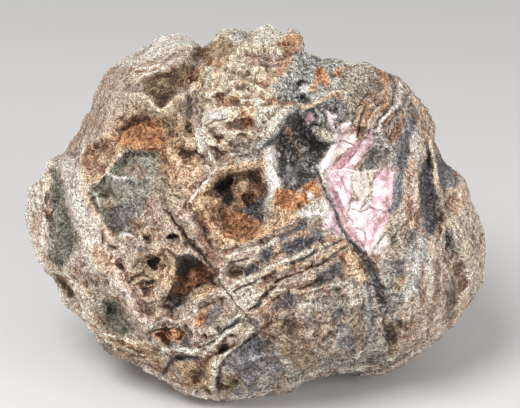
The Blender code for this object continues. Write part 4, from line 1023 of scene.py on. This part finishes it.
def front_minerals(x, y, bends, behind):
    """The rows of values seen from the front: the ground, and the patches and the lines laid in order.

    A patch is blended in by how far inside its outline a point is, and a line by how near it is."""
    across, down = bends
    soft_wander = 1 + RIM_WANDER * behind
    soft_places = x + soft_wander * across, y + soft_wander * down
    crisp_places = x + CRISP_WANDER * across, y + CRISP_WANDER * down
    values = np.tile(mineral_row(GROUND), (len(x), 1))
    for name, soft, strength, outline in PATCHES:
        patch_x, patch_y = soft_places if soft > CRISP_EDGE else crisp_places
        near = near_shape(patch_x, patch_y, outline, soft)
        inside = depth_inside(patch_x[near], patch_y[near], outline)
        share = strength * smooth_step(-soft / 2, soft / 2, inside)
        values[near] += share[:, None] * (mineral_row(name) - values[near])
    line_x, line_y = x + LINE_WANDER * across, y + LINE_WANDER * down
    for name, half_width, _, strength, line in LINES:
        near = near_shape(line_x, line_y, line, 2 * half_width)
        distance, _ = from_line(line_x[near], line_y[near], line)
        share = strength * smooth_step(*LINE_EDGE, np.abs(distance) / half_width)
        values[near] += share[:, None] * (mineral_row(name) - values[near])
    return values


def hidden_minerals(points):
    """The rows of values at the sides and the back, where noise alone lays the minerals."""
    values = np.tile(mineral_row(GROUND), (len(points), 1))
    for number, (name, size, low, high) in enumerate(HIDDEN_ZONES):
        level = rough(points, size, MINERAL_SEEDS["zones"] + number)
        level += HIDDEN_RAGGED * rough(points, size / HIDDEN_FINER, MINERAL_SEEDS["finer zones"] + number)
        values += smooth_step(low, high, level)[:, None] * (mineral_row(name) - values)
    return values


def minerals_at(points, bends, to_front):
    """The rows of values at each point: the front's, carried on round the rim, and then the hidden ones."""
    x, y = on_sketch(points)
    behind = smooth_step(*PAST_RIM, to_front)
    front = front_minerals(*round_the_rim(x, y, behind), bends, behind)
    size, strength = PAST_FRONT_UNEVEN
    uneven = strength * rough(points, size, MINERAL_SEEDS["past front"])
    back = smooth_step(*PAST_FRONT, to_front + uneven)
    return front + back[:, None] * (hidden_minerals(points) - front)


# ---------------------------------------------------------------------------------------------------------
# The weathered skin. Under the hand the stone is a mesh of small knobs, worm-like crests and pores a
# millimetre or two across, and the harder beds stand out as fine ribs.

# Each size in metres, and how high its forms rise or how deep they go in millimetres.
KNOBS = [(0.0070, 0.9), (0.0034, 0.8)]
WORMS = [(0.0017, 0.50)]
PORES = [(0.0056, 1.8), (0.0032, 1.1), (0.0019, 0.65)]

# How a pore is made: how much wider than high it is, the chances over which it deepens, its radius for the
# least chance and how much the chance adds, and the place, half width and height of its raised edge.
PORE_WIDE = 1.5
PORE_CHANCE = (0.15, 0.95)
PORE_RADIUS = (0.45, 0.3)
PORE_EDGE = (0.75, 0.35, 0.2)

# How far noise of one size shoves the forms about, in metres.
WARP = 0.0020
WARP_SIZE = 0.004

# The ribs of the beds: their rise in millimetres, their width in steps and their length in metres. The
# bends of the beds are noise sizes in metres with steps sideways.
RIB_RISE = 0.45
BAND_STEPS = 6.5
BAND_LENGTH = 0.022
BAND_BENDS = [(0.016, 5), (0.006, 2.5)]
FINER_BAND = (2.3, 2, 2)
FINER_BAND_SHARE = 0.5

# The guides that the beds follow on the sketch, and where each holds: the right one over steps across, the
# middle one over steps across and down, along a slope, and the low front one inside an oval.
RIGHT_BED = [(366, 50), (398, 84), (414, 112), (408, 150), (402, 180), (397, 215), (392, 260), (389, 310),
             (384, 380)]
RIGHT_FROM = (346, 366)
MIDDLE_BED = [(140, 392), (200, 352), (250, 312), (300, 280), (352, 258)]
MIDDLE_FROM = (140, 190)
MIDDLE_BELOW = (210, 240)
MIDDLE_SLOPE = 0.1
FRONT_ROUND = (296, 314)
FRONT_ROUND_REACH = (95, 62)
FRONT_ROUND_EDGE = (1.05, 0.85)
FRONT_ROUND_CORE = (54, 34)

# Small knots and dents, drawn like OVALS.
KNOTS = [
    (213, 202, 9, 11, 0, 3.0), (244, 184, 8, 9, 10, 3.2), (266, 208, 5, 12, 0, 2.2),
    (230, 178, 6, 6, 0, -2.5), (330, 136, 10, 7, 30, 2.2), (322, 134, 9, 6, 40, 1.8),
    (312, 118, 8, 8, 0, 1.8), (302, 150, 9, 6, 30, 1.6), (292, 172, 12, 6, -20, 1.4),
    (206, 96, 7, 8, 0, 1.6), (193, 100, 6, 12, 0, 2.6), (192, 120, 6, 13, 0, 3.0),
    (193, 140, 6, 13, 0, 3.0), (197, 156, 6, 9, 0, 1.8), (242, 88, 8, 3, 10, -2.2),
    (228, 90, 6, 3, 0, -1.8), (217, 104, 4, 3, 0, -1.5), (236, 102, 9, 4, -15, -1.8),
    (250, 120, 11, 6, 0, -2.0), (268, 104, 9, 3, 10, -1.6), (262, 84, 9, 4, -20, -1.6),
    (222, 70, 7, 4, 0, -1.6), (244, 66, 8, 3, 0, -1.5), (266, 62, 9, 3, -10, -1.6),
    (256, 40, 9, 5, 0, 1.4), (282, 56, 7, 5, 30, -1.6), (240, 136, 6, 4, 0, -1.8),
    (214, 116, 8, 4, 0, 1.4), (222, 131, 9, 8, 0, 2.0), (228, 128, 4, 3, 0, -1.6),
    (258, 140, 6, 5, 0, -1.6), (380, 210, 8, 12, 20, 1.4), (362, 222, 7, 10, -20, 1.2),
    (326, 74, 6, 8, 20, 1.4), (340, 70, 5, 4, 0, 1.2), (104, 162, 7, 6, 0, 1.6),
    (92, 158, 5, 7, 0, 1.2), (122, 200, 9, 6, 30, 1.2), (136, 176, 9, 5, 10, 1.2),
    (104, 196, 7, 4, -20, -1.6), (84, 265, 4, 3, 0, -1.4), (93, 267, 3, 3, 0, -1.2),
    (99, 262, 3, 3, 0, -1.2), (112, 246, 5, 4, 0, -1.4), (104, 236, 3, 5, 0, -1.2),
    (155, 266, 5, 5, 0, -1.6), (192, 276, 7, 9, -20, 1.6), (206, 272, 6, 5, 0, 1.4),
    (160, 334, 6, 4, 0, -1.6), (176, 334, 5, 4, 0, 1.4), (230, 335, 5, 3, 0, -1.4),
]

# The nearness to the front over which the lines and the knots come in, and the mesh's final size.
DRAWN_BAND = (-0.1, 0.1)
TRIANGLES = 196000
SKIN_SEEDS = {"warp": 130, "knobs": 140, "worms": 150, "pores": 160, "band bends": 172, "bands": 174,
              "finer bands": 184}


def nearest_seed(points, size, seed):
    """Distance to the nearest of one random seed in each lattice cell, in cells (Worley noise), and a
    chance of 0 to 1 that is the same all round that seed."""
    scaled = points / size
    corner = np.floor(scaled).astype(np.int64)
    nearest = np.full(len(points), 9.0)
    chance = np.zeros(len(points))
    for offset in np.ndindex(3, 3, 3):
        cell = corner + np.array(offset) - 1
        h = lattice_value(cell, seed)
        place = cell + np.stack([h & 1023, (h >> 10) & 1023, (h >> 20) & 1023], 1) / 1023
        distance = ((scaled - place) ** 2).sum(1)
        chance = np.where(distance < nearest, ((h >> 7) & 1023) / 1023, chance)
        nearest = np.minimum(nearest, distance)
    return np.sqrt(nearest), chance


def bands(points, x, y):
    """Noise, about -1 to 1, drawn out along the beds.

    At the right the beds follow RIGHT_BED, in the middle they follow MIDDLE_BED, and low in front they go
    round FRONT_ROUND, each as noise of the distance from its guide, so that it is narrow across the guide
    and long along it. Elsewhere the beds lie across BED_WAY."""
    bend = sum(
        steps * rough(points, size, SKIN_SEEDS["band bends"] + number)
        for number, (size, steps) in enumerate(BAND_BENDS)
    )
    way = np.array(BED_WAY) / np.linalg.norm(BED_WAY)
    from_round = np.hypot(x - FRONT_ROUND[0], y - FRONT_ROUND[1])
    fields = [from_line(x, y, RIGHT_BED)[0], from_line(x, y, MIDDLE_BED)[0], from_round, points @ way / STEP]
    right = smooth_step(*RIGHT_FROM, x)
    middle = smooth_step(*MIDDLE_FROM, x) * smooth_step(*MIDDLE_BELOW, y - MIDDLE_SLOPE * x) * (1 - right)
    reach = np.hypot((x - FRONT_ROUND[0]) / FRONT_ROUND_REACH[0], (y - FRONT_ROUND[1]) / FRONT_ROUND_REACH[1])
    low_front = smooth_step(*FRONT_ROUND_EDGE, reach)
    shares = [right * (1 - low_front), middle * (1 - low_front), low_front]
    shares.append(1 - sum(shares))
    total = 0
    for number, (field, share) in enumerate(zip(fields, shares)):
        across = (field + bend) / BAND_STEPS
        stack = np.stack([across, points[:, 0] / BAND_LENGTH, points[:, 1] / BAND_LENGTH], 1)
        broad = rough(stack, 1.0, SKIN_SEEDS["bands"] + number)
        finer = rough(stack * FINER_BAND, 1.0, SKIN_SEEDS["finer bands"] + number)
        total += share * (broad + FINER_BAND_SHARE * finer)
    return total * (1 - low_front * smooth_step(*FRONT_ROUND_CORE, from_round))


def vertex_ways(points, cells):
    """Unit directions out of the surface.

    Each is the sum over the cells round a point of the cross product of the cell's diagonals."""
    cross = np.cross(points[cells[:, 2]] - points[cells[:, 0]], points[cells[:, -1]] - points[cells[:, 1]])
    corner = cells.ravel()
    total = [np.bincount(corner, np.repeat(cross[:, k], cells.shape[1]), len(points)) for k in range(3)]
    total = np.stack(total, 1)
    return total / np.linalg.norm(total, axis=1)[:, None]


def pores(points, size, seed):
    """Pores between about -1 and 0.2: round dents, each with a raised edge and a depth of its own.

    A pore is a dome turned inwards round the seed of a Worley cell, and its edge is a dome of the
    distance from a ring round that seed."""
    reach, chance = nearest_seed(points / (PORE_WIDE, 1, 1), size, seed)
    least, more = PORE_RADIUS
    ring, half_width, height = PORE_EDGE
    pore = height * dome((reach - ring) / half_width) - dome(reach / (least + more * chance))
    return smooth_step(*PORE_CHANCE, chance) * pore


def fine_relief(points, values, bends, to_front):
    """Height of the fine skin in metres: knobs, worms, pores and ribs, each by the mineral's own measure,
    and then the knots and the lines that are drawn on the sketch."""
    shove = [rough(points, WARP_SIZE, SKIN_SEEDS["warp"] + number) for number in range(3)]
    warped = points + WARP * np.stack(shove, 1)
    height = 0
    for measure, seed, forms in ((LUMPY, SKIN_SEEDS["knobs"], KNOBS), (GRAINED, SKIN_SEEDS["worms"], WORMS)):
        crests = sum(rise * (folded(warped, size, seed + n) - 0.5) for n, (size, rise) in enumerate(forms))
        height = height + values[:, measure] * crests
    for number, (size, depth) in enumerate(PORES):
        height += values[:, PITTED] * depth * pores(warped, size, SKIN_SEEDS["pores"] + number)
    x, y = on_sketch(points)
    height += values[:, BANDED] * RIB_RISE * bands(points, x, y)
    drawn = smooth_step(*DRAWN_BAND, to_front)
    x, y = x + LINE_WANDER * bends[0], y + LINE_WANDER * bends[1]
    for *knot, rise in KNOTS:
        height += rise * dome(oval_reach(x, y, *knot)) * drawn
    for _, half_width, rise, _, line in LINES:
        near = near_shape(x, y, line, 2 * half_width)
        distance, _ = from_line(x[near], y[near], line)
        height[near] += rise * dome(distance / (LINE_RISE_WIDTH * half_width)) * drawn[near]
    return height * MILLIMETRE


def rested(points):
    """The points with all that is under the resting plane drawn in towards the middle, onto the plane."""
    c, s = math.cos(FRONT_LEAN), math.sin(FRONT_LEAN)
    height = np.minimum(points[:, 1] * c + points[:, 2] * s + BASE_DROP, 0)
    return points * (BASE_DROP / (BASE_DROP - height))[:, None]


def world_axes(points):
    """Points in the sketch's axes as world points: the front leans back, and the base is at z = 0."""
    c, s = math.cos(FRONT_LEAN), math.sin(FRONT_LEAN)
    up = points[:, 1] * c + points[:, 2] * s + BASE_DROP
    return np.stack([points[:, 0], points[:, 1] * s - points[:, 2] * c, up], 1)


def sketch_axes(points):
    """World points in the sketch's axes, the turn of world_axes undone."""
    c, s = math.cos(FRONT_LEAN), math.sin(FRONT_LEAN)
    up = points[:, 2] - BASE_DROP
    return np.stack([points[:, 0], points[:, 1] * s + up * c, up * s - points[:, 1] * c], 1)


def filled_mesh(name, points, cells):
    """A mesh from arrays of points and of cells, all with as many corners."""
    mesh = bpy.data.meshes.new(name)
    sides = cells.shape[1]
    mesh.vertices.add(len(points))
    mesh.vertices.foreach_set("co", points.astype(np.float32).ravel())
    mesh.loops.add(cells.size)
    mesh.loops.foreach_set("vertex_index", cells.astype(np.int32).ravel())
    mesh.polygons.add(len(cells))
    mesh.polygons.foreach_set("loop_start", np.arange(len(cells), dtype=np.int32) * sides)
    mesh.update(calc_edges=True)
    return mesh


def thinned(mesh, triangles):
    """The mesh collapsed to a number of triangles, fewest where it is flat."""
    carrier = bpy.data.objects.new("carrier", mesh)
    bpy.context.scene.collection.objects.link(carrier)
    collapse = carrier.modifiers.new("collapse", "DECIMATE")
    collapse.ratio = triangles / (2 * len(mesh.polygons))
    collapse.use_collapse_triangulate = True
    evaluated = carrier.evaluated_get(bpy.context.evaluated_depsgraph_get())
    result = bpy.data.meshes.new_from_object(evaluated)
    bpy.data.objects.remove(carrier)
    bpy.data.meshes.remove(mesh)
    return result


ball, cells = ball_grid(GRID_CELLS)
to_front = ball[:, 2]
points = stone_surface(ball)
bends = edge_bends(points)
values = minerals_at(points, bends, to_front)
points += vertex_ways(points, cells) * fine_relief(points, values, bends, to_front)[:, None]
mesh = thinned(filled_mesh("full_surface", world_axes(rested(points)), cells), TRIANGLES)
mesh.name = "rhodochrosite_surface"

# ---------------------------------------------------------------------------------------------------------
# The colours on the skin. Crests are painted pale, partly as wear and partly as painted highlight, and
# hollows are painted dark, partly as earth and rust and partly as painted shade.

# Stains: noise sizes in metres and their strengths, and the levels of their sum where a mineral without
# any stained share starts to be stained and where it is wholly stained. The share lowers both.
STAIN_NOISE = [(0.0050, 0.8), (0.0021, 0.8), (0.0140, 0.5), (0.0012, 0.6)]
STAIN_LEVELS = (0.40, 0.60)
STAIN_SEED = 190

# The beds: the colour of each kind and its strength. Rust beds lie round a level of the band noise, with a
# half width, and dark and pale ones come in between two levels.
RUST_BED = (178, 118, 74)
RUST_BED_STRENGTH = 0.75
RUST_BED_LEVEL = (0.05, 0.14)
DARK_BED = (78, 78, 84)
DARK_BED_STRENGTH = 0.85
DARK_BED_LEVELS = (-0.10, -0.32)
PALE_BED = (222, 210, 194)
PALE_BED_STRENGTH = 0.8
PALE_BED_LEVELS = (0.22, 0.42)

# Hollows and crests at each reach, from the finest: the millimetres at which they count in full, and their
# weight. The reaches come from averaging the surface over SOFTENING rounds, one after the other. The dark of
# the hollows is partly earth and rust and partly painted shade. The pale of the crests is partly wear and
# partly painted highlight.
SOFTENING = (2, 12, 60)
HOLLOW_EARTH_AND_SHADE_REACHES = [(0.12, 0.35), (0.50, 0.45), (1.6, 0.15)]
CREST_WEAR_AND_HIGHLIGHT_REACHES = [(0.10, 0.5), (0.50, 0.5)]
# The most of the hollows' dark, and what the stain is multiplied by for it: partly earth and rust, partly
# painted shade.
HOLLOW_EARTH_AND_SHADE_MOST = 0.85
HOLLOW_EARTH_AND_SHADE = (0.30, 0.24, 0.20)

# Crests painted pale, partly as wear and partly as painted highlight: what the colour is multiplied by and
# raised by, its highest level, the share of it that shows, and the linear green of a mineral over which the
# paling starts to show.
CREST_WEAR_AND_HIGHLIGHT = (1.24, 1.21, 1.15)
CREST_WEAR_AND_HIGHLIGHT_LIFT = 0.015
CREST_WEAR_AND_HIGHLIGHT_MOST = 0.80
CREST_WEAR_AND_HIGHLIGHT_SHARE = 0.7
CREST_WEAR_AND_HIGHLIGHT_FROM = (0.02, 0.2)
GREEN = 1


def read_mesh(mesh):
    """The mesh's points, triangles and edges as arrays."""
    points = np.empty(len(mesh.vertices) * 3, np.float32)
    mesh.vertices.foreach_get("co", points)
    corners = np.empty(len(mesh.loops), np.int32)
    mesh.loops.foreach_get("vertex_index", corners)
    edges = np.empty(len(mesh.edges) * 2, np.int32)
    mesh.edges.foreach_get("vertices", edges)
    return points.reshape(-1, 3).astype(float), corners.reshape(-1, 3), edges.reshape(-1, 2)


def softened(points, edges, rounds):
    """Each point moved to the mean of its neighbours, `rounds` times."""
    a, b = edges.T
    total = len(points)
    count = np.bincount(a, minlength=total) + np.bincount(b, minlength=total)
    for _ in range(rounds):
        sums = [np.bincount(a, points[b, k], total) + np.bincount(b, points[a, k], total) for k in range(3)]
        points = np.stack(sums, 1) / count[:, None]
    return points


def rises_above(points, edges, out):
    """How far each point stands above its surroundings in millimetres, from the finest reach to the widest.

    Each reach is the height, along the way out, of one softened surface above the next."""
    rises = []
    for rounds in SOFTENING:
        softer = softened(points, edges, rounds)
        rises.append(((points - softer) * out).sum(1) / MILLIMETRE)
        points = softer
    return rises


def blended(first, second, share):
    """The first colours carried towards the second by a share of 0 to 1 at each point."""
    return first + share[:, None] * (second - first)


def tinted(values, points, band, rises):
    """The skin's linear colour at each point.

    Stains cover part of each mineral by noise, bands darken and rust the bedded ones, hollows turn to a deep
    shade of the stain, partly earth and rust and partly painted shade, and crests are made a paler shade of
    the ground, partly as wear and partly as painted highlight."""
    spots = sum(
        strength * rough(points, size, STAIN_SEED + number)
        for number, (size, strength) in enumerate(STAIN_NOISE)
    )
    start, whole = STAIN_LEVELS
    share = values[:, STAINED]
    colour = blended(values[:, COLOUR], values[:, STAIN], smooth_step(start - share, whole - share, spots))
    bedded = values[:, BANDED]
    level, half_width = RUST_BED_LEVEL
    rusted = bedded * RUST_BED_STRENGTH * dome((band - level) / half_width)
    colour = blended(colour, linear(RUST_BED), rusted)
    darkened = bedded * DARK_BED_STRENGTH * smooth_step(*DARK_BED_LEVELS, band)
    colour = blended(colour, linear(DARK_BED), darkened)
    paled = bedded * PALE_BED_STRENGTH * smooth_step(*PALE_BED_LEVELS, band)
    colour = blended(colour, linear(PALE_BED), paled)
    # Painted dark in the hollows: partly earth and rust, partly painted shade.
    hollow = sum(weight * np.clip(-rise / full, 0, 1) for rise, (full, weight) in zip(rises, HOLLOW_EARTH_AND_SHADE_REACHES))
    colour = blended(colour, values[:, STAIN] * HOLLOW_EARTH_AND_SHADE, np.minimum(hollow, HOLLOW_EARTH_AND_SHADE_MOST))
    # Painted pale on the crests: partly wear, partly painted highlight.
    crest = sum(weight * np.clip(rise / full, 0, 1) for rise, (full, weight) in zip(rises, CREST_WEAR_AND_HIGHLIGHT_REACHES))
    wear_and_highlight = np.minimum(values[:, COLOUR] * CREST_WEAR_AND_HIGHLIGHT + CREST_WEAR_AND_HIGHLIGHT_LIFT, CREST_WEAR_AND_HIGHLIGHT_MOST)
    return blended(colour, wear_and_highlight, CREST_WEAR_AND_HIGHLIGHT_SHARE * crest * smooth_step(*CREST_WEAR_AND_HIGHLIGHT_FROM, values[:, GREEN]))


def set_attribute(mesh, name, kind, key, array):
    """Stores a row of an array for each of the mesh's points."""
    attribute = mesh.attributes.new(name, kind, "POINT")
    attribute.data.foreach_set(key, array.astype(np.float32).ravel())


points, triangles, edges = read_mesh(mesh)
points[:, 2] = np.maximum(points[:, 2], 0)
mesh.vertices.foreach_set("co", points.astype(np.float32).ravel())
rises = rises_above(points, edges, vertex_ways(points, triangles))
points = sketch_axes(points)
values = minerals_at(points, edge_bends(points), points[:, 2] / np.linalg.norm(points, axis=1))
tint = tinted(values, points, bands(points, *on_sketch(points)), rises)
opaque = np.ones((len(tint), 1))
set_attribute(mesh, "tint", "FLOAT_COLOR", "color", np.concatenate([tint, opaque], 1))
set_attribute(mesh, "nature", "FLOAT_VECTOR", "vector", values[:, [GRAINED, SPECKLED, SMOOTH]])
mesh.polygons.foreach_set("use_smooth", np.ones(len(mesh.polygons), bool))
stone = bpy.data.objects.new("rhodochrosite_surface", mesh)
bpy.context.scene.collection.objects.link(stone)

# ---------------------------------------------------------------------------------------------------------
# The stone's finish: one material, whose colour starts from the minerals and adds their worms, their grains
# and a net of fine walls between pores, all finer than the mesh. Each has painted shade, partly dark dirt, in
# its deep parts, and painted highlight, partly pale grain, in its lit parts.

# Noise patterns: waves to the metre, detail, roughness and distortion.
NOISES = {
    "worms": (760, 2.0, 0.6, 0.8),
    "grains": (2100, 0.0, 0.5, 0.3),
    "dust": (3200, 0.0, 0.5, 0.0),
    "uneven": (190, 1.0, 0.5, 0.0),
    "sparks": (1250, 0.0, 0.5, 0.0),
    "specks": (980, 0.0, 0.5, 0.5),
}

# The net of fine walls: cells to the metre, and the noise that bends it, in waves to the metre
# and in metres.
NET_SCALE = 480
NET_BEND_SCALE = 700
NET_BEND = 0.0020

# What the colour is multiplied by in the deep parts of the patterns, painted shade with some dark dirt, and
# in the lit parts, painted highlight with some pale grain, and each pattern's levels where that starts and is
# whole, with its strength. The net shows only where "uneven" is over NET_FROM.
DEEP_DIRT_AND_SHADE = (0.27, 0.22, 0.185)
LIT = (1.40, 1.44, 1.50)
SHADES = [
    ("worms", 0.46, 0.34, 0.45, DEEP_DIRT_AND_SHADE),
    ("worms", 0.53, 0.64, 0.35, LIT),
    ("net", 0.25, 0.42, 0.75, DEEP_DIRT_AND_SHADE),
    ("net", 0.14, 0.04, 0.80, LIT),
    ("grains", 0.46, 0.36, 0.60, DEEP_DIRT_AND_SHADE),
    ("grains", 0.54, 0.64, 0.50, LIT),
    ("dust", 0.46, 0.34, 0.50, DEEP_DIRT_AND_SHADE),
    ("dust", 0.54, 0.66, 0.50, LIT),
]
NET_FROM = (0.38, 0.55)

# The crystal facets of the smooth minerals: cells to the metre, levels, strength and shade.
FACET_SCALE = 330
FACET_LEVELS = (0.55, 0.40)
FACET_STRENGTH = 0.25
FACET_SHADE = (0.80, 0.66, 0.68)

# Pale and dark grains of the speckled minerals: pattern, levels, strength and linear colour.
SPECKLES = [
    ("sparks", 0.60, 0.68, 0.7, (0.66, 0.64, 0.60, 1)),
    ("specks", 0.40, 0.32, 0.8, (0.040, 0.040, 0.043, 1)),
]

# The roughness of dull and of smooth minerals.
ROUGHNESS = (0.92, 0.32)

# The bump: its strength and its depth in metres, the weights of the patterns added to the worms, the height
# and the width of the net's walls, and the little of it that is left on skin without grain.
BUMP_STRENGTH = 0.9
BUMP_DEPTH = 0.0020
BUMP_WEIGHTS = [("grains", 0.5), ("dust", 0.22)]
BUMP_NET = 0.4
BUMP_NET_WIDTH = 0.4
BUMP_LEAST = 0.05

material = bpy.data.materials.new("weathered_rhodochrosite_rock")
material.use_nodes = True
tree = material.node_tree
shader = tree.nodes["Principled BSDF"]


def node(kind, sockets=(), **settings):
    """A node with its settings and its input sockets set: a socket takes a value or another's output."""
    made = tree.nodes.new(kind)
    for name, value in settings.items():
        setattr(made, name, value)
    for name, value in dict(sockets).items():
        if isinstance(value, bpy.types.NodeSocket):
            tree.links.new(value, made.inputs[name])
        else:
            made.inputs[name].default_value = value
    return made


def maths(operation, *values):
    """The output of a Math node."""
    return node("ShaderNodeMath", enumerate(values), operation=operation).outputs[0]


def vector_maths(operation, sockets):
    """The vector that a Vector Math node gives."""
    return node("ShaderNodeVectorMath", sockets, operation=operation).outputs["Vector"]


def between(value, low, high, start=0.0, end=1.0):
    """A value carried smoothly from low..high to start..end."""
    sockets = {"Value": value, "From Min": low, "From Max": high, "To Min": start, "To Max": end}
    return node("ShaderNodeMapRange", sockets, interpolation_type="SMOOTHSTEP").outputs["Result"]


def noise(vector, scale, detail, roughness, distortion):
    """A noise pattern, from about 0.3 to about 0.7."""
    sockets = {"Vector": vector, "Scale": scale, "Detail": detail, "Roughness": roughness,
               "Distortion": distortion}
    return node("ShaderNodeTexNoise", sockets).outputs["Fac"]


def mixed(share, first, second, blend="MIX"):
    """Two colours blended by a share. A colour Mix node has its share in socket 0, its colours in 6 and 7."""
    sockets = {0: share, 6: first, 7: second}
    return node("ShaderNodeMix", data_type="RGBA", blend_type=blend, sockets=sockets).outputs[2]


def shaded(colour, share, factor):
    """A colour multiplied by a factor over a share of it."""
    return mixed(share, colour, mixed(1.0, colour, (*factor, 1), "MULTIPLY"))


place = node("ShaderNodeTexCoord").outputs["Object"]
colour = node("ShaderNodeAttribute", attribute_name="tint").outputs["Color"]
nature = node("ShaderNodeAttribute", attribute_name="nature").outputs["Vector"]
grained, speckled, smoothness = node("ShaderNodeSeparateXYZ", {"Vector": nature}).outputs
patterns = {name: noise(place, *settings) for name, settings in NOISES.items()}
shove = node("ShaderNodeTexNoise", {"Vector": place, "Scale": NET_BEND_SCALE, "Detail": 1.0}).outputs["Color"]
shove = vector_maths("SCALE", {0: shove, 3: NET_BEND})
bent = vector_maths("ADD", {0: place, 1: shove})
net = node("ShaderNodeTexVoronoi", {"Vector": bent, "Scale": NET_SCALE}, feature="DISTANCE_TO_EDGE")
patterns["net"] = net.outputs["Distance"]
netted = maths("MULTIPLY", between(patterns["uneven"], *NET_FROM), grained)

# Each pattern lays painted shade on its deep parts and painted highlight on its lit parts.
for name, start, whole, strength, factor in SHADES:
    share = between(patterns[name], start, whole, 0.0, strength)
    share = maths("MULTIPLY", share, netted if name == "net" else grained)
    colour = shaded(colour, share, factor)
cell_colour = node("ShaderNodeTexVoronoi", {"Vector": place, "Scale": FACET_SCALE}).outputs["Color"]
facet = node("ShaderNodeSeparateXYZ", {"Vector": cell_colour}).outputs[0]
share = maths("MULTIPLY", between(facet, *FACET_LEVELS), maths("MULTIPLY", smoothness, FACET_STRENGTH))
colour = shaded(colour, share, FACET_SHADE)
for name, start, whole, strength, grain_colour in SPECKLES:
    share = maths("MULTIPLY", between(patterns[name], start, whole), maths("MULTIPLY", speckled, strength))
    colour = mixed(share, colour, grain_colour)
tree.links.new(colour, shader.inputs["Base Color"])
tree.links.new(between(smoothness, 0.0, 1.0, *ROUGHNESS), shader.inputs["Roughness"])

height = patterns["worms"]
for name, weight in BUMP_WEIGHTS:
    height = maths("ADD", height, maths("MULTIPLY", patterns[name], weight))
cracks = between(patterns["net"], 0.0, BUMP_NET_WIDTH, BUMP_NET, 0.0)
height = maths("ADD", height, maths("MULTIPLY", netted, cracks))
height = maths("MULTIPLY", height, maths("ADD", grained, BUMP_LEAST))
bump = node("ShaderNodeBump", {"Height": height, "Strength": BUMP_STRENGTH, "Distance": BUMP_DEPTH})
tree.links.new(bump.outputs["Normal"], shader.inputs["Normal"])
mesh.materials.append(material)
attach(stone, "root")
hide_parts("rhodochrosite_stone")

# ---------------------------------------------------------------------------------------------------------
# The floor: one plain pale sheet, large enough to fill the view.

FLOOR_SIZE = 6.0
FLOOR_COLOUR = (0.62, 0.61, 0.60, 1)
FLOOR_ROUGHNESS = 0.9

half = FLOOR_SIZE / 2
corners = [(-half, -half, 0), (half, -half, 0), (half, half, 0), (-half, half, 0)]
floor_mesh = bpy.data.meshes.new("floor")
floor_mesh.from_pydata(corners, [], [(0, 1, 2, 3)])
floor = bpy.data.objects.new("floor", floor_mesh)
bpy.context.scene.collection.objects.link(floor)
floor_material = bpy.data.materials.new("pale_floor")
floor_material.use_nodes = True
floor_shader = floor_material.node_tree.nodes["Principled BSDF"]
floor_shader.inputs["Base Color"].default_value = FLOOR_COLOUR
floor_shader.inputs["Roughness"].default_value = FLOOR_ROUGHNESS
floor_mesh.materials.append(floor_material)

# ---------------------------------------------------------------------------------------------------------
# The lights: a wide soft one above and to the left, weaker ones from the right and from low in front, and
# an even sky. All point at the middle of the stone.

# Name, place in metres, width in metres and watts.
LIGHTS = [
    ("key_light", (-0.32, -0.50, 0.80), 0.50, 8.9),
    ("fill_light", (0.70, -0.70, 0.40), 0.60, 4.8),
    ("low_light", (-0.10, -0.95, 0.12), 0.60, 2.9),
]
SKY_COLOUR = (1.0, 1.0, 1.0, 1)
SKY_STRENGTH = 0.50

middle = Vector((0, 0, BASE_DROP))
for name, spot, width, watts in LIGHTS:
    light = bpy.data.lights.new(name, "AREA")
    light.shape = "DISK"
    light.size = width
    light.energy = watts
    lamp = bpy.data.objects.new(name, light)
    lamp.location = spot
    lamp.rotation_mode = "QUATERNION"
    lamp.rotation_quaternion = (Vector(spot) - middle).to_track_quat("Z", "Y")
    bpy.context.scene.collection.objects.link(lamp)
world = bpy.data.worlds.new("sky")
world.use_nodes = True
world.node_tree.nodes["Background"].inputs["Color"].default_value = SKY_COLOUR
world.node_tree.nodes["Background"].inputs["Strength"].default_value = SKY_STRENGTH
bpy.context.scene.world = world
bpy.context.scene.view_settings.view_transform = "Standard"

# ---------------------------------------------------------------------------------------------------------
# The camera looks down at the front from VIEWING_DISTANCE.

PICTURE_WIDTH = 520
PICTURE_CENTRE = (260, 204)
SENSOR_WIDTH = 36

c, s = math.cos(FRONT_LEAN), math.sin(FRONT_LEAN)
right_way, up_way, view_way = Vector((1, 0, 0)), Vector((0, s, c)), Vector((0, -c, s))
aim = middle + right_way * ((PICTURE_CENTRE[0] - SKETCH_CENTRE[0]) * STEP)
aim += up_way * ((SKETCH_CENTRE[1] - PICTURE_CENTRE[1]) * STEP)
camera = bpy.data.objects.new("camera", bpy.data.cameras.new("camera"))
camera.location = aim + view_way * VIEWING_DISTANCE
camera.rotation_mode = "QUATERNION"
camera.rotation_quaternion = view_way.to_track_quat("Z", "Y")
camera.data.sensor_width = SENSOR_WIDTH
camera.data.lens = SENSOR_WIDTH * VIEWING_DISTANCE / STEP / PICTURE_WIDTH
bpy.context.scene.collection.objects.link(camera)
bpy.context.scene.camera = camera
